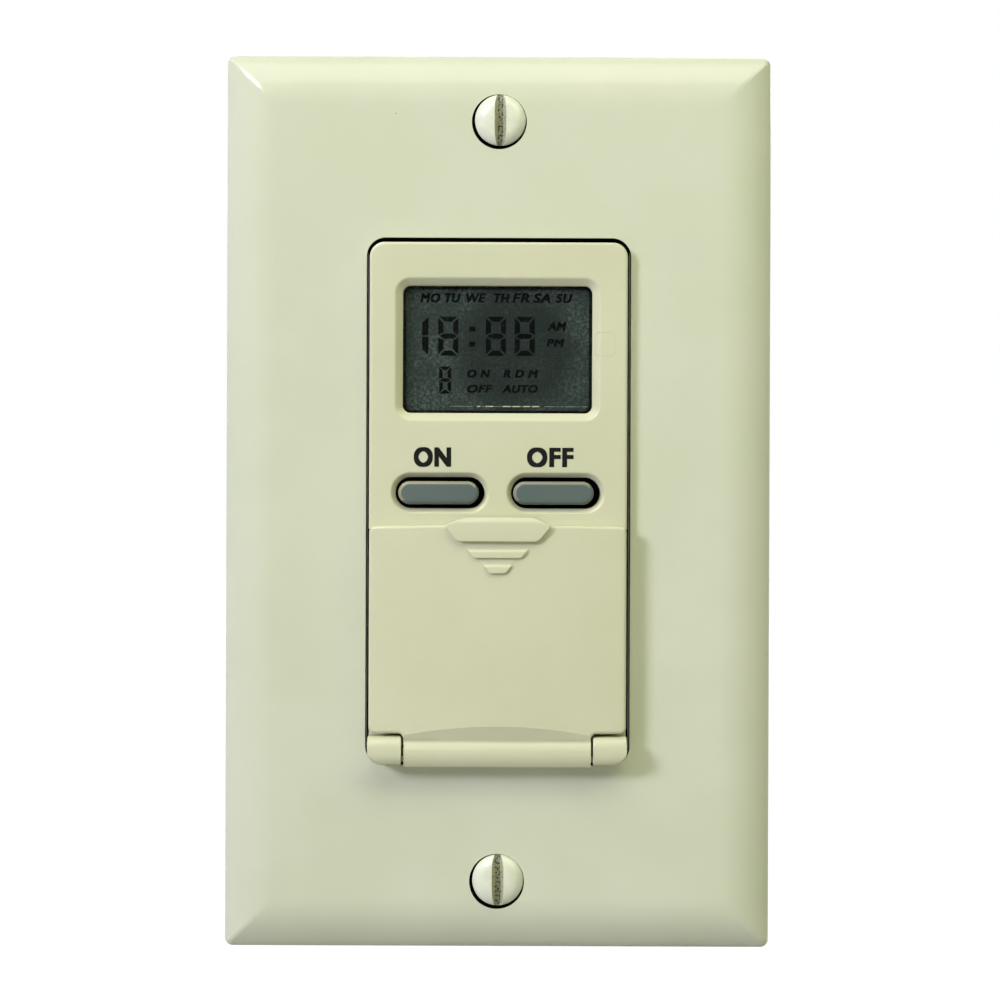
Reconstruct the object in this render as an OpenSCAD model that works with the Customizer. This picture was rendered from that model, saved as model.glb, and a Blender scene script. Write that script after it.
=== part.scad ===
// Programmable in-wall timer switch with its single-gang wall plate.
// Millimetres, +Z up, the front faces -Y, and y = 0 is the plane of the wall.
// Every piece is drawn lying on its back (x right, y up, z out of the wall) and then stood up.

/* [Wall plate] */
// Width of the plate
plate_w = 69.85; // [66:0.05:76]
// Height of the plate
plate_h = 114.3; // [112:0.05:122]
// How far the plate's flat face stands off the wall
plate_depth = 5.6; // [5.2:0.1:7]
// Thickness of the plate's moulded wall
plate_wall = 2; // [1.5:0.1:2.4]
// Corner radius of the plate's outline
plate_corner_r = 1.4; // [0.8:0.1:3]
// Width of the curved border round the flat face
edge_run = 6.4; // [4:0.1:8]
// How far the curved border falls from the face to the rim
edge_drop = 2.6; // [1.5:0.1:3]
// Gap between the device and the edge of the plate's opening
opening_gap = 0.5; // [0.3:0.05:0.8]

/* [Plate screws] */
// Distance of each plate screw from the plate's end
plate_screw_inset = 8.73; // [7.6:0.01:10]
// Thread diameter of a plate screw
plate_screw_d = 3.5; // [3:0.1:4]
// Diameter of the oval head
plate_screw_head_d = 6.8; // [6.2:0.1:7.6]
// Height of the head's dome above the plate
plate_screw_dome = 0.9; // [0.5:0.1:1.3]
// Length of the screw behind the plate's face
plate_screw_l = 12; // [9:0.5:16]
// Width of the screwdriver slot
plate_screw_slot = 1.3; // [0.8:0.1:1.6]

/* [Mounting strap] */
// Distance of each wall-box screw hole from its plate screw
box_screw_inset = 6.75; // [5.5:0.05:8]
// Diameter of the wall-box screw holes
box_hole_d = 4.3; // [3.8:0.1:4.8]
// Thickness of the strap
strap_t = 1.2; // [1:0.1:1.6]
// Distance of the strap's ends from the plate's ends
strap_inset = 4.15; // [3.2:0.05:5.2]
// Width of the strap beside the device
strap_w = 46; // [45:0.5:50]
// Width of the strap's ends
strap_end_w = 34; // [28:0.5:38]

/* [Face] */
// Width of the device's face
face_w = 32.8; // [32.4:0.1:33.6]
// Height of the device's face
face_h = 66.4; // [65.6:0.1:67.6]
// Corner radius of the face
face_corner_r = 1.9; // [1.2:0.1:2.5]
// How far the upper panel stands in front of the plate
panel_proud = 1.4; // [0.8:0.1:2]
// How far the key deck lies behind the upper panel
deck_drop = 1.8; // [1.4:0.1:2.4]
// Wall thickness of the bezel
bezel_wall = 1.5; // [1.2:0.1:1.7]
// Thickness of the bezel's flange behind the strap
flange_t = 1.8; // [1.4:0.1:2.4]

/* [Display] */
// Width of the display window
window_w = 24.1; // [22:0.1:25]
// Height of the display window
window_h = 16; // [14:0.1:17]
// Height of the window's centre above the device's centre
window_y = 19.5; // [18.8:0.1:20]
// Width of the bevel round the window
window_bevel = 0.8; // [0.4:0.1:1]
// How far the clear window lies behind the panel's face
lens_recess = 0.8; // [0.6:0.1:1]
// Thickness of the liquid crystal cell
glass_t = 2.2; // [1.6:0.1:2.6]

/* [Buttons] */
// Width of the ON and OFF buttons
button_w = 10.25; // [9:0.05:11]
// Height of the ON and OFF buttons
button_h = 2.95; // [2.4:0.05:3.4]
// Distance of each button from the centre line
button_x = 7.35; // [7.2:0.05:7.6]
// Height of the buttons above the device's centre
button_y = 1.4; // [1:0.1:2]
// How far the buttons stand in front of the panel
button_proud = 0.6; // [0.2:0.1:1]
// Travel of the ON and OFF buttons
button_travel = 0.7; // [0.4:0.1:0.9]
// Gap round a button in its well
well_gap = 0.5; // [0.3:0.05:0.6]
// Width of the bevel round a button's well
well_bevel = 0.5; // [0.2:0.1:0.6]

/* [Keys behind the door] */
// Width of a key in the upper row
row_key_w = 7.6; // [6.5:0.1:7.9]
// Height of a key in the upper row
row_key_h = 3.8; // [3:0.1:4.2]
// Width of a key in the right column
column_key_w = 6.4; // [5:0.1:7]
// Height of a key in the right column
column_key_h = 3.6; // [3:0.1:3.8]
// Distance between keys in the upper row
row_pitch = 9.8; // [9.6:0.1:10]
// Distance between keys in the right column
column_pitch = 5.8; // [5.6:0.1:6]
// How far the keys stand in front of their deck
key_proud = 1.3; // [0.8:0.1:1.6]
// Travel of the keys
key_travel = 0.5; // [0.3:0.1:0.8]
// Diameter of the reset pin
reset_d = 2.2; // [1.6:0.1:2.6]
// Diameter of the battery cap
battery_cap_d = 15.6; // [14.6:0.1:16]

/* [Door] */
// Width of the door
door_w = 32.6; // [32:0.1:32.8]
// Top edge of the door below the device's centre
door_top = 2.9; // [2.6:0.1:3.2]
// Radius of the door's slightly arched top edge
door_top_r = 540; // [400:10:900]
// Thickness of the door at its middle
door_t = 2.05; // [1.9:0.05:2.4]
// Radius of the door's crowned face
door_crown_r = 180; // [160:5:400]
// Height of the finger tab's face above the door
tab_raise = 0.55; // [0.3:0.05:0.8]
// Reach of the finger tab above the door's top edge
tab_reach = 1; // [0.6:0.1:1.4]
// Greatest width of the finger tab
tab_w = 13.6; // [12:0.1:15]
// Height of the raised guide bars under the tab
bar_raise = 0.35; // [0.2:0.05:0.5]
// Drop of the scoop from the crown to the hinge barrel
scoop_h = 1.9; // [1.6:0.1:2.1]

/* [Hinge] */
// Height of the hinge axis above the bottom of the face
hinge_rise = 1.55; // [1.5:0.05:1.7]
// Radius of the door's hinge barrel
barrel_r = 1.85; // [1.7:0.05:1.9]
// Length of the hinge barrel
barrel_l = 23.7; // [22:0.1:25]
// Radius of the fixed knuckles
knuckle_r = 1.95; // [1.8:0.05:2]
// Diameter of the hinge pin
pin_d = 1.4; // [1.2:0.1:1.6]

/* [Housing] */
// Outer width of the rear housing
housing_w = 44; // [43:0.5:45]
// Outer height of the rear housing
housing_h = 70; // [69:0.5:72]
// Depth of the rear housing
housing_depth = 26; // [25:0.5:30]
// Wall thickness of the rear housing
housing_wall = 2; // [1.6:0.1:2.4]
// Diameter of the housing screws
housing_screw_d = 2.6; // [2.2:0.1:3]
// Diameter of the terminal screws
terminal_screw_d = 3.9; // [3.5:0.1:4.2]
// Distance of the terminals from the device's centre
terminal_y = 14; // [13.5:0.1:14.5]

/* [Electronics] */
// Thickness of both circuit boards
board_t = 1.6; // [1:0.1:2]
// Height of a push switch body
switch_h = 3.2; // [2.8:0.1:3.4]
// Width of a push switch body
switch_w = 5.2; // [4.6:0.1:5.4]
// Diameter of a push switch plunger
plunger_d = 3.4; // [3:0.1:3.6]
// Diameter of the coin cell
cell_d = 12.5; // [11:0.1:12.6]
// Thickness of the coin cell
cell_t = 2; // [1.6:0.1:2.1]
// Distance from the front board to the rear board
board_spacing = 15.2; // [14.8:0.1:16]
// Width of the relay
relay_w = 17; // [16:0.5:18]
// Length of the relay
relay_l = 26; // [25:0.5:27]
// Height of the relay
relay_h = 12.4; // [12:0.1:12.8]

/* [Hidden] */
$fn = 64;

// Clearances
slide_gap = 0.25;
running_gap = 0.05;
pin_fit = 0.02;
seat_gap = 0.1;
through = 1;
weld = 0.01;

// Colours
ivory = [0.82, 0.82, 0.70];
ivory_face = [0.81, 0.81, 0.68];
button_grey = [0.38, 0.42, 0.40];
key_grey = [0.55, 0.56, 0.50];
steel = [0.72, 0.73, 0.74];
brass = [0.78, 0.63, 0.30];
black_plastic = [0.12, 0.12, 0.13];
board_green = [0.10, 0.36, 0.22];

// Distances out of the wall
panel_out = plate_depth + panel_proud;
panel_back = panel_out - bezel_wall;
deck_out = panel_out - deck_drop;
deck_back = deck_out - bezel_wall;
door_key_gap = 0.45;
door_back = deck_out + key_proud + door_key_gap;
door_out = door_back + door_t;
hinge_lift = 0.15;
hinge_out = door_back + hinge_lift;
flange_back = -flange_t;
board_gap = 1.2;
board_front = flange_back - board_gap;
board_back = board_front - board_t;
power_front = board_back - board_spacing;
power_back = power_front - board_t;
housing_back = flange_back - housing_depth;
housing_floor = housing_back + housing_wall;
switch_top = board_front + switch_h;
plunger_proud = 0.8;
plunger_top = switch_top + plunger_proud;

// Wall plate
edge_arc_r = (edge_run * edge_run + edge_drop * edge_drop) / (2 * edge_drop);
sink_gap = 0.12;
sink_depth = 1.9;
head_land = 0.1;
slot_bite = 0.35;
plate_boss_r = 4.6;
plate_screw_spacing = plate_h - 2 * plate_screw_inset;

// Strap
box_screw_spacing = plate_screw_spacing - 2 * box_screw_inset;
strap_l = plate_h - 2 * strap_inset;
strap_mid_margin = 2;
strap_mid_h = housing_h + 2 * strap_mid_margin;
strap_corner_r = 2;
strap_gap = 0.3;
ear_slit_w = 0.8;
ear_slit_l = 5;
ear_side_inset = 6;
ear_end_inset = 4.5;
lug_w = 8;
lug_depth = 9.5;
lug_gap = 3.17;
lug_y = -(housing_h / 2 + lug_gap + lug_w / 2);
ground_screw_d = 4;
ground_shank_l = 7;
ground_head_d = 7.4;
ground_head_t = 2;
ground_slot_w = 1.2;
ground_slot_depth = 0.9;

// Face and hinge
bezel_in_w = face_w - 2 * bezel_wall;
bezel_in_h = face_h - 2 * bezel_wall;
bezel_in_r = 0.6;
door_top_y = -door_top;
seam_gap = 0.3;
panel_low_y = door_top_y + seam_gap;
hinge_y = -face_h / 2 + hinge_rise;
knuckle_gap = 0.45;
knuckle_x = barrel_l / 2 + knuckle_gap;
pin_end_wall = 0.8;
pin_l = face_w - 2 * pin_end_wall;
door_low_gap = 0.35;
door_low_y = hinge_y + knuckle_r + door_low_gap;
tab_drop = 1.97;
tab_low_y = door_top_y - tab_drop;
tab_low_taper = 3.35;
tab_low_w = tab_w - tab_low_taper;
tab_top_taper = 4.7;
tab_top_w = tab_w - tab_top_taper;
bar_gap = 0.98;
bar_h = 1.08;
bar_pitch = 1.94;
bar_taper = 1.8;
bar_w = 7.7;
bar_step_w = 4;
door_rim = 1.3;
door_pocket = 0.5;
valley_rise = 1.35;
valley_out = hinge_out + sqrt(barrel_r * barrel_r - valley_rise * valley_rise);
valley_y = hinge_y + valley_rise;
scoop_slope = atan2(door_out - valley_out, scoop_h);
scoop_block = 10;

// Display
lens_front = panel_out - lens_recess;
window_corner_r = 1;
lens_gap = 0.1;
lens_lip = 1.2;
lens_flange_t = 1;
lens_back = panel_back - lens_flange_t;
glass_back = lens_back - glass_t;
glass_margin = 1.5;
holder_gap = 0.4;
holder_w = bezel_in_w - 2 * holder_gap;
holder_wall = 0.9;
glass_w = holder_w - 2 * (holder_wall + seat_gap);
glass_h = window_h + 2 * glass_margin;
holder_h = glass_h + 2 * (holder_wall + seat_gap);
zebra_t = 2;
zebra_end_gap = 1.5;
zebra_l = glass_w - 2 * zebra_end_gap;
zebra_y = glass_h / 2 - zebra_t;

// Buttons and keys
cap_flange_t = 0.8;
cap_lip = 0.8;
button_lip = 0.5;
key_corner_r = 0.8;
stem_d = 2.8;
button_flange_top = panel_back - seat_gap;
key_flange_top = deck_back - seat_gap;
row_drop = 4.3;
row_y = door_top_y - row_drop;
column_side_gap = 1.5;
column_x = bezel_in_w / 2 - column_side_gap - cap_lip - column_key_w / 2;
column_gap = 1.5;
column_top_y = row_y - (row_key_h + column_key_h) / 2 - 2 * cap_lip - column_gap;
column_low_y = column_top_y - 2 * column_pitch;
reset_gap = 0.3;
reset_drop = 0.9;
reset_spot = [column_x - column_key_w / 2 - 2 * cap_lip - reset_gap - reset_d / 2,
    column_low_y - reset_drop];
reset_sink = 0.2;
on_spot = [-button_x, button_y];
off_spot = [button_x, button_y];
day_spot = [-row_pitch, row_y];
hour_spot = [0, row_y];
minute_spot = [row_pitch, row_y];
mode_spot = [column_x, column_top_y];
program_spot = [column_x, column_top_y - column_pitch];
clock_spot = [column_x, column_low_y];
switch_spots = [on_spot, off_spot, day_spot, hour_spot, minute_spot,
    mode_spot, program_spot, clock_spot, reset_spot];

// Battery
cap_gap = 0.3;
cap_proud = 0.6;
cap_out = deck_out + cap_proud;
cap_lug_w = 3.2;
cap_lug_reach = 1;
cap_lug_t = 0.7;
cap_row_gap = 0.5;
cap_reach = battery_cap_d / 2 + cap_gap;
cap_spot = [-(bezel_in_w / 2 - cap_reach),
    row_y - row_key_h / 2 - cap_lip - cap_row_gap - cap_lug_reach - cap_reach];
cap_lug_top = deck_back - slide_gap;
cap_low = cap_lug_top - cap_lug_t;
coin_slot_w = 1.6;
coin_slot_l = 11;
coin_slot_depth = 0.9;
cell_top = cap_low - slide_gap;
cell_low = cell_top - cell_t;
contact_t = 0.4;
cup_wall = 1.15;
holder_r = cell_d / 2 + cup_wall;
leaf_inset = 1.25;
leaf_stem_gap = 0.3;
clip_w = 3;
lug_turn = 90;
cap_turn = 45;

// Boards and their screws
board_side_gap = 0.6;
board_end_gap = 1;
board_w = housing_w - 2 * (housing_wall + board_side_gap);
board_h = housing_h - 2 * (housing_wall + board_end_gap);
power_side_inset = 1.4;
power_end_inset = 3;
power_w = board_w - 2 * power_side_inset;
power_h = board_h - 2 * power_end_inset;
post_inset = 2.8;
post_x = board_w / 2 - post_inset;
post_y = power_h / 2 - post_inset;
board_screw_d = 2.2;
board_screw_head_d = 3.8;
board_screw_head_t = 0.9;
board_screw_end_gap = 0.6;
board_cross_l = 2.2;
board_cross_w = 0.5;
board_cross_depth = 0.55;
spacer_d = 4.4;
post_d = 5;

// Housing screws
housing_boss_d = 5.6;
housing_screw_x = (housing_w - housing_boss_d) / 2;
housing_screw_y = (housing_h - housing_boss_d) / 2;
housing_screw_head_d = 4.6;
housing_screw_head_t = 1.5;
housing_screw_l = 12;
housing_screw_end_gap = 4;
housing_cross_l = 2.8;
housing_cross_w = 0.6;
housing_cross_depth = 1;
housing_in_r = 1;
boss_clear = 0.3;
notch_w = board_w / 2 - housing_screw_x + housing_boss_d / 2 + boss_clear;
notch_h = board_h / 2 - housing_screw_y + housing_boss_d / 2 + boss_clear;

// Terminals: side, height
terminal_spots = [[-1, terminal_y], [-1, -terminal_y], [1, -terminal_y]];
terminal_depth = 11;
terminal_out = -flange_t - terminal_depth;
recess_w = 9.6;
recess_depth = 4;
recess_wall = 1.6;
recess_set_back = 0.5;
terminal_plate_gap = 0.5;
terminal_plate_w = recess_w - 2 * terminal_plate_gap;
terminal_plate_t = 1.2;
terminal_head_d = 6.8;
terminal_head_t = 1.8;
terminal_head_proud = 0.4;
terminal_shank_l = 7;
terminal_slot_w = 1.2;
terminal_slot_depth = 0.9;
tail_w = 3;
tail_t = 0.8;
tail_reach = 3;
tail_drop = 2.6;

// Parts on the rear board
relay_spot = [0, -13];
relay_base_t = 1.8;
relay_wall = 0.9;
relay_floor = power_front + relay_base_t;
relay_top = power_front + relay_h;
yoke_t = 0.9;
yoke_w = 7;
coil_d = 8.4;
coil_y = -1;
core_d = 3;
pole_drop = 2.6;
pole_out = relay_top - relay_wall - pole_drop;
armature_gap = 0.5;
armature_t = 0.8;
armature_l = 18;
yoke_back_y = 6;
contact_d = 2;
contact_inset = 3;
contact_y = yoke_back_y - armature_l + contact_inset;
contact_stand = 0.8;
contact_post_w = 3.2;
blade_t = 0.6;
film_size = [15, 7, 10];
film_corner_r = 0.5;
film_spot = [-4, 9];
can_d = 8;
can_h = 11;
can_groove_r = 0.35;
can_groove_rise = 1.6;
can_spot = [10, 9];
varistor_d = 8.4;
varistor_t = 3.6;
varistor_stand = 0.8;
varistor_lead_x = 2.5;
varistor_spot = [-8, 19];
lead_d = 0.8;
header_spot = [5, 22];
header_pins_n = 6;
header_pitch = 2.54;
header_h = 2.5;
header_pin_d = 0.7;
chip_w = 10;
chip_t = 1.4;
chip_spot = [0, 8];
crystal_size = [8, 3, 2.6];
crystal_spot = [0, -2];

// Stands a piece up on the wall
module on_wall() {
    rotate([90, 0, 0]) children();
}

// Extrudes an outline from one distance to another
module between(low, high) {
    translate([0, 0, low]) linear_extrude(height = high - low) children();
}

module round_rect(w, h, r) {
    square([w - 2 * r, h], center = true);
    square([w, h - 2 * r], center = true);
    for (x = [-1, 1], y = [-1, 1])
        translate([x * (w / 2 - r), y * (h / 2 - r)]) circle(r = r);
}

module pill(w, h) {
    square([w - h, h], center = true);
    for (x = [-1, 1])
        translate([x * (w - h) / 2, 0]) circle(d = h);
}

module face_outline(grow = 0) {
    round_rect(face_w + 2 * grow, face_h + 2 * grow, face_corner_r + grow);
}

// A pocket with rounded corners whose walls slope outwards by the bevel
module bevelled_pocket(w, h, r, bevel, depth) {
    slope = bevel / depth;
    reach = bevel + slope * through;
    tall = depth + through;
    for (x = [-1, 1], y = h - 2 * r > weld ? [-1, 1] : [0])
        translate([x * (w / 2 - r), y * (h / 2 - r), 0]) cylinder(h = tall, r1 = r, r2 = r + reach);
    rotate([90, 0, 90])
        linear_extrude(height = w - 2 * r, center = true)
            polygon([[-h / 2, 0], [h / 2, 0], [h / 2 + reach, tall], [-h / 2 - reach, tall]]);
    if (h - 2 * r > weld)
        rotate([90, 0, 0])
            linear_extrude(height = h - 2 * r, center = true)
                polygon([[-w / 2, 0], [w / 2, 0], [w / 2 + reach, tall], [-w / 2 - reach, tall]]);
}

// Cross-section of the plate with its curved borders, drawn smaller by the inset
module plate_section(width, inset) {
    intersection() {
        translate([-width / 2 + inset, -through])
            square([width - 2 * inset, plate_depth - inset + through]);
        union() {
            translate([-width / 2 + edge_run, -2 * edge_arc_r])
                square([width - 2 * edge_run, 2 * edge_arc_r + plate_depth - inset]);
            for (x = [-1, 1])
                translate([x * (width / 2 - edge_run), plate_depth - edge_arc_r])
                    circle(r = edge_arc_r - inset, $fn = 180);
        }
    }
}

module plate_block(inset, low) {
    intersection() {
        rotate([90, 0, 0]) linear_extrude(height = plate_h, center = true) plate_section(plate_w, inset);
        rotate([90, 0, 90]) linear_extrude(height = plate_w, center = true) plate_section(plate_h, inset);
        between(low, plate_depth)
            round_rect(plate_w - 2 * inset, plate_h - 2 * inset, plate_corner_r);
    }
}

module at_plate_screws() {
    for (y = [-1, 1])
        translate([0, y * plate_screw_spacing / 2, 0]) children();
}

module at_housing_screws() {
    for (x = [-1, 1], y = [-1, 1])
        translate([x * housing_screw_x, y * housing_screw_y, 0]) children();
}

module at_posts() {
    for (x = [-1, 1], y = [-1, 1])
        translate([x * post_x, y * post_y, 0]) children();
}

// Turns a terminal drawn along +z so that it points out of the housing's side
module at_terminals() {
    for (spot = terminal_spots)
        translate([0, spot[1], terminal_out]) rotate([0, spot[0] * 90, 0]) children();
}

module wall_plate() {
    color(ivory)
    on_wall()
    difference() {
        union() {
            difference() {
                plate_block(0, 0);
                plate_block(plate_wall, -through);
            }
            at_plate_screws()
                translate([0, 0, strap_t + seat_gap])
                    cylinder(r = plate_boss_r, h = plate_depth - plate_wall / 2 - strap_t - seat_gap);
        }
        between(-through, plate_depth + through)
            face_outline(opening_gap);
        at_plate_screws() {
            cylinder(d = plate_screw_d + 2 * slide_gap, h = plate_depth + through);
            translate([0, 0, plate_depth - sink_depth])
                cylinder(d1 = plate_screw_d + 2 * slide_gap, d2 = plate_screw_head_d + 2 * sink_gap,
                    h = sink_depth);
        }
    }
}

// Half of an oval-head screw's profile: shank, cone, a thin land and a shallow dome
module plate_screw_profile() {
    dome_r = (pow(plate_screw_head_d / 2, 2) + pow(plate_screw_dome, 2)) / (2 * plate_screw_dome);
    shank_r = plate_screw_d / 2;
    head_r = plate_screw_head_d / 2;
    polygon([[0, plate_depth - plate_screw_l], [shank_r, plate_depth - plate_screw_l],
        [shank_r, plate_depth - sink_depth], [head_r, plate_depth - head_land],
        [head_r, plate_depth], [0, plate_depth]]);
    intersection() {
        translate([0, plate_depth + plate_screw_dome - dome_r]) circle(r = dome_r, $fn = 128);
        translate([0, plate_depth - head_land]) square([head_r, plate_screw_dome + 2 * head_land]);
    }
}

module plate_screws() {
    slot_depth = plate_screw_dome + slot_bite;
    color(ivory)
    on_wall()
    at_plate_screws()
    difference() {
        rotate_extrude() plate_screw_profile();
        translate([-plate_screw_slot / 2, -plate_screw_head_d, plate_depth + plate_screw_dome - slot_depth])
            cube([plate_screw_slot, 2 * plate_screw_head_d, slot_depth + through]);
    }
}

module strap_outline() {
    round_rect(strap_w, strap_mid_h, strap_corner_r);
    round_rect(strap_end_w, strap_l, strap_corner_r);
}

// Steel strap with a window for the bezel, box-screw holes, tapped plate-screw holes and break-off ears
module mounting_strap() {
    ear_x = strap_end_w / 2 - ear_side_inset;
    color(steel)
    on_wall()
    difference() {
        union() {
            between(0, strap_t)
                difference() {
                    strap_outline();
                    face_outline(strap_gap);
                }
            translate([-strap_end_w / 2, lug_y - lug_w / 2, -lug_depth])
                cube([strap_t, lug_w, lug_depth + strap_t / 2]);
        }
        for (y = [-1, 1]) {
            translate([0, y * box_screw_spacing / 2, -through])
                cylinder(d = box_hole_d, h = strap_t + 2 * through);
            for (x = [-1, 1])
                translate([x * ear_x - ear_slit_w / 2, y * (strap_l / 2 - ear_end_inset) - ear_slit_l / 2,
                    -through])
                    cube([ear_slit_w, ear_slit_l, strap_t + 2 * through]);
        }
        at_plate_screws()
            translate([0, 0, -through])
                cylinder(d = plate_screw_d + 2 * running_gap, h = strap_t + 2 * through);
        at_housing_screws()
            translate([0, 0, -through])
                cylinder(d = housing_screw_d + 2 * seat_gap, h = strap_t + 2 * through);
        translate([-strap_end_w / 2 - through, lug_y, -lug_depth / 2])
            rotate([0, 90, 0])
                cylinder(d = ground_screw_d + 2 * running_gap, h = strap_t + 2 * through);
    }
}

// Hexagon-headed earth screw through the strap's bent lug
module ground_screw() {
    color([0.16, 0.45, 0.22])
    on_wall()
    translate([-strap_end_w / 2, lug_y, -lug_depth / 2])
    rotate([0, -90, 0])
    difference() {
        union() {
            cylinder(d = ground_head_d, h = ground_head_t, $fn = 6);
            translate([0, 0, -ground_shank_l]) cylinder(d = ground_screw_d, h = ground_shank_l);
        }
        translate([-ground_head_d, -ground_slot_w / 2, ground_head_t - ground_slot_depth])
            cube([2 * ground_head_d, ground_slot_w, ground_slot_depth + through]);
    }
}

// Region of the face that lies above a given height
module above(y) {
    translate([-face_w, y]) square([2 * face_w, face_h]);
}

module bezel_solid() {
    between(flange_back, 0)
        round_rect(housing_w, housing_h, strap_corner_r);
    between(flange_back, deck_out)
        face_outline();
    between(flange_back, panel_out)
        intersection() {
            face_outline();
            above(panel_low_y);
        }
    intersection() {
        between(0, hinge_out + knuckle_r)
            face_outline();
        for (x = [-1, 1])
            translate([x * (knuckle_x + face_w / 2) / 2, hinge_y, 0]) {
                rotate([0, 90, 0]) translate([-hinge_out, 0, 0])
                    cylinder(r = knuckle_r, h = face_w / 2 - knuckle_x, center = true);
                translate([-(face_w / 2 - knuckle_x) / 2, -2 * knuckle_r, deck_back])
                    cube([face_w / 2 - knuckle_x, 3 * knuckle_r, hinge_out - deck_back]);
            }
    }
}

module key_hole(spot, w, h) {
    translate([spot[0], spot[1], deck_back - through])
        linear_extrude(height = bezel_wall + 2 * through)
            round_rect(w + 2 * slide_gap, h + 2 * slide_gap, key_corner_r + slide_gap);
}

module button_hole(spot) {
    translate([spot[0], spot[1], panel_back - through])
        linear_extrude(height = bezel_wall + 2 * through)
            pill(button_w + 2 * well_gap, button_h + 2 * well_gap);
    translate([spot[0], spot[1], panel_out - well_bevel])
        bevelled_pocket(button_w + 2 * well_gap, button_h + 2 * well_gap, button_h / 2 + well_gap,
            well_bevel, well_bevel);
}

// Cap opening with two entry notches for the bayonet lugs
module battery_opening() {
    translate([cap_spot[0], cap_spot[1], deck_back - through]) {
        cylinder(d = battery_cap_d + 2 * cap_gap, h = bezel_wall + 2 * through);
        rotate([0, 0, lug_turn + cap_turn])
            intersection() {
                cylinder(d = battery_cap_d + 2 * (cap_lug_reach + cap_gap), h = bezel_wall + 2 * through);
                translate([-battery_cap_d, -cap_lug_w / 2 - cap_gap, 0])
                    cube([2 * battery_cap_d, cap_lug_w + 2 * cap_gap, bezel_wall + 2 * through]);
            }
    }
}

// One moulding: flange, skirt, upper panel, key deck and the two hinge knuckles
module front_bezel() {
    color(ivory_face)
    on_wall()
    difference() {
        bezel_solid();
        between(flange_back - through, deck_back)
            round_rect(bezel_in_w, bezel_in_h, bezel_in_r);
        between(flange_back - through, panel_back)
            intersection() {
                round_rect(bezel_in_w, bezel_in_h, bezel_in_r);
                above(panel_low_y + bezel_wall);
            }
        translate([0, window_y, panel_back - through])
            linear_extrude(height = bezel_wall + 2 * through)
                round_rect(window_w, window_h, window_corner_r);
        translate([0, window_y, panel_out - lens_recess])
            bevelled_pocket(window_w, window_h, window_corner_r, window_bevel, lens_recess);
        button_hole(on_spot);
        button_hole(off_spot);
        for (spot = [day_spot, hour_spot, minute_spot])
            key_hole(spot, row_key_w, row_key_h);
        for (spot = [mode_spot, program_spot, clock_spot])
            key_hole(spot, column_key_w, column_key_h);
        translate([reset_spot[0], reset_spot[1], deck_back - through])
            cylinder(d = reset_d + 2 * slide_gap, h = bezel_wall + 2 * through);
        battery_opening();
        translate([0, hinge_y, hinge_out])
            rotate([0, 90, 0])
                cylinder(r = barrel_r + seam_gap, h = 2 * knuckle_x, center = true);
        translate([0, hinge_y, hinge_out])
            rotate([0, 90, 0])
                cylinder(d = pin_d + 2 * pin_fit, h = pin_l + 2 * pin_fit, center = true);
        at_housing_screws()
            translate([0, 0, flange_back - through])
                cylinder(d = housing_screw_d + 2 * seat_gap, h = flange_t + 2 * through);
    }
}

// Clear window: a raised pane that fills the opening, with a lip behind the panel
module display_lens() {
    color([0.75, 0.82, 0.80, 0.35])
    on_wall()
    translate([0, window_y, 0]) {
        between(panel_back - weld, lens_front)
            round_rect(window_w - 2 * lens_gap, window_h - 2 * lens_gap, window_corner_r - lens_gap);
        between(lens_back, panel_back)
            round_rect(window_w + 2 * lens_lip, window_h + 2 * lens_lip, window_corner_r);
    }
}

module display_glass() {
    color([0.22, 0.25, 0.23])
    on_wall()
    translate([0, window_y, 0])
        between(glass_back, lens_back)
            square([glass_w, glass_h], center = true);
}

// Carrier that seats the glass and guides the two rubber connector strips
module display_holder() {
    color([0.86, 0.86, 0.84])
    on_wall()
    translate([0, window_y, 0])
    difference() {
        between(board_front, lens_back)
            round_rect(holder_w, holder_h, window_corner_r);
        between(glass_back, lens_back + through)
            square([glass_w + 2 * seat_gap, glass_h + 2 * seat_gap], center = true);
        between(board_front - through, glass_back + through)
            square([zebra_l, 2 * (zebra_y - zebra_t)], center = true);
        for (y = [-1, 1])
            translate([0, y * zebra_y, 0])
                between(board_front - through, glass_back + through)
                    square([zebra_l + 2 * seat_gap, zebra_t + 2 * seat_gap], center = true);
    }
}

module zebra_strips() {
    color([0.30, 0.30, 0.32])
    on_wall()
    for (y = [-1, 1])
        translate([0, window_y + y * zebra_y, 0])
            between(board_front, glass_back)
                square([zebra_l, zebra_t], center = true);
}

// Outline of the finger tab, from its lower edge to its reach above the door
module tab_outline() {
    polygon([[-tab_low_w / 2, tab_low_y], [tab_low_w / 2, tab_low_y], [tab_w / 2, door_top_y],
        [tab_top_w / 2, door_top_y + tab_reach], [-tab_top_w / 2, door_top_y + tab_reach],
        [-tab_w / 2, door_top_y]]);
}

// Outline of one guide bar, counted downwards from the tab
module bar_outline(i) {
    high = tab_low_y - bar_gap - i * bar_pitch;
    width = bar_w - i * bar_step_w;
    polygon([[-width / 2, high], [width / 2, high],
        [(width - bar_taper) / 2, high - bar_h], [-(width - bar_taper) / 2, high - bar_h]]);
}

// Everything behind the crowned face, raised in front of it by an amount
module under_crown(raise = 0) {
    translate([0, 0, door_out + raise - door_crown_r])
        rotate([90, 0, 0])
            cylinder(r = door_crown_r, h = 2 * face_h, center = true, $fn = 720);
}

module door_outline() {
    intersection() {
        translate([-door_w / 2, door_low_y]) square([door_w, door_top_y - door_low_y]);
        translate([0, door_top_y - door_top_r]) circle(r = door_top_r, $fn = 1440);
    }
}

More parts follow.
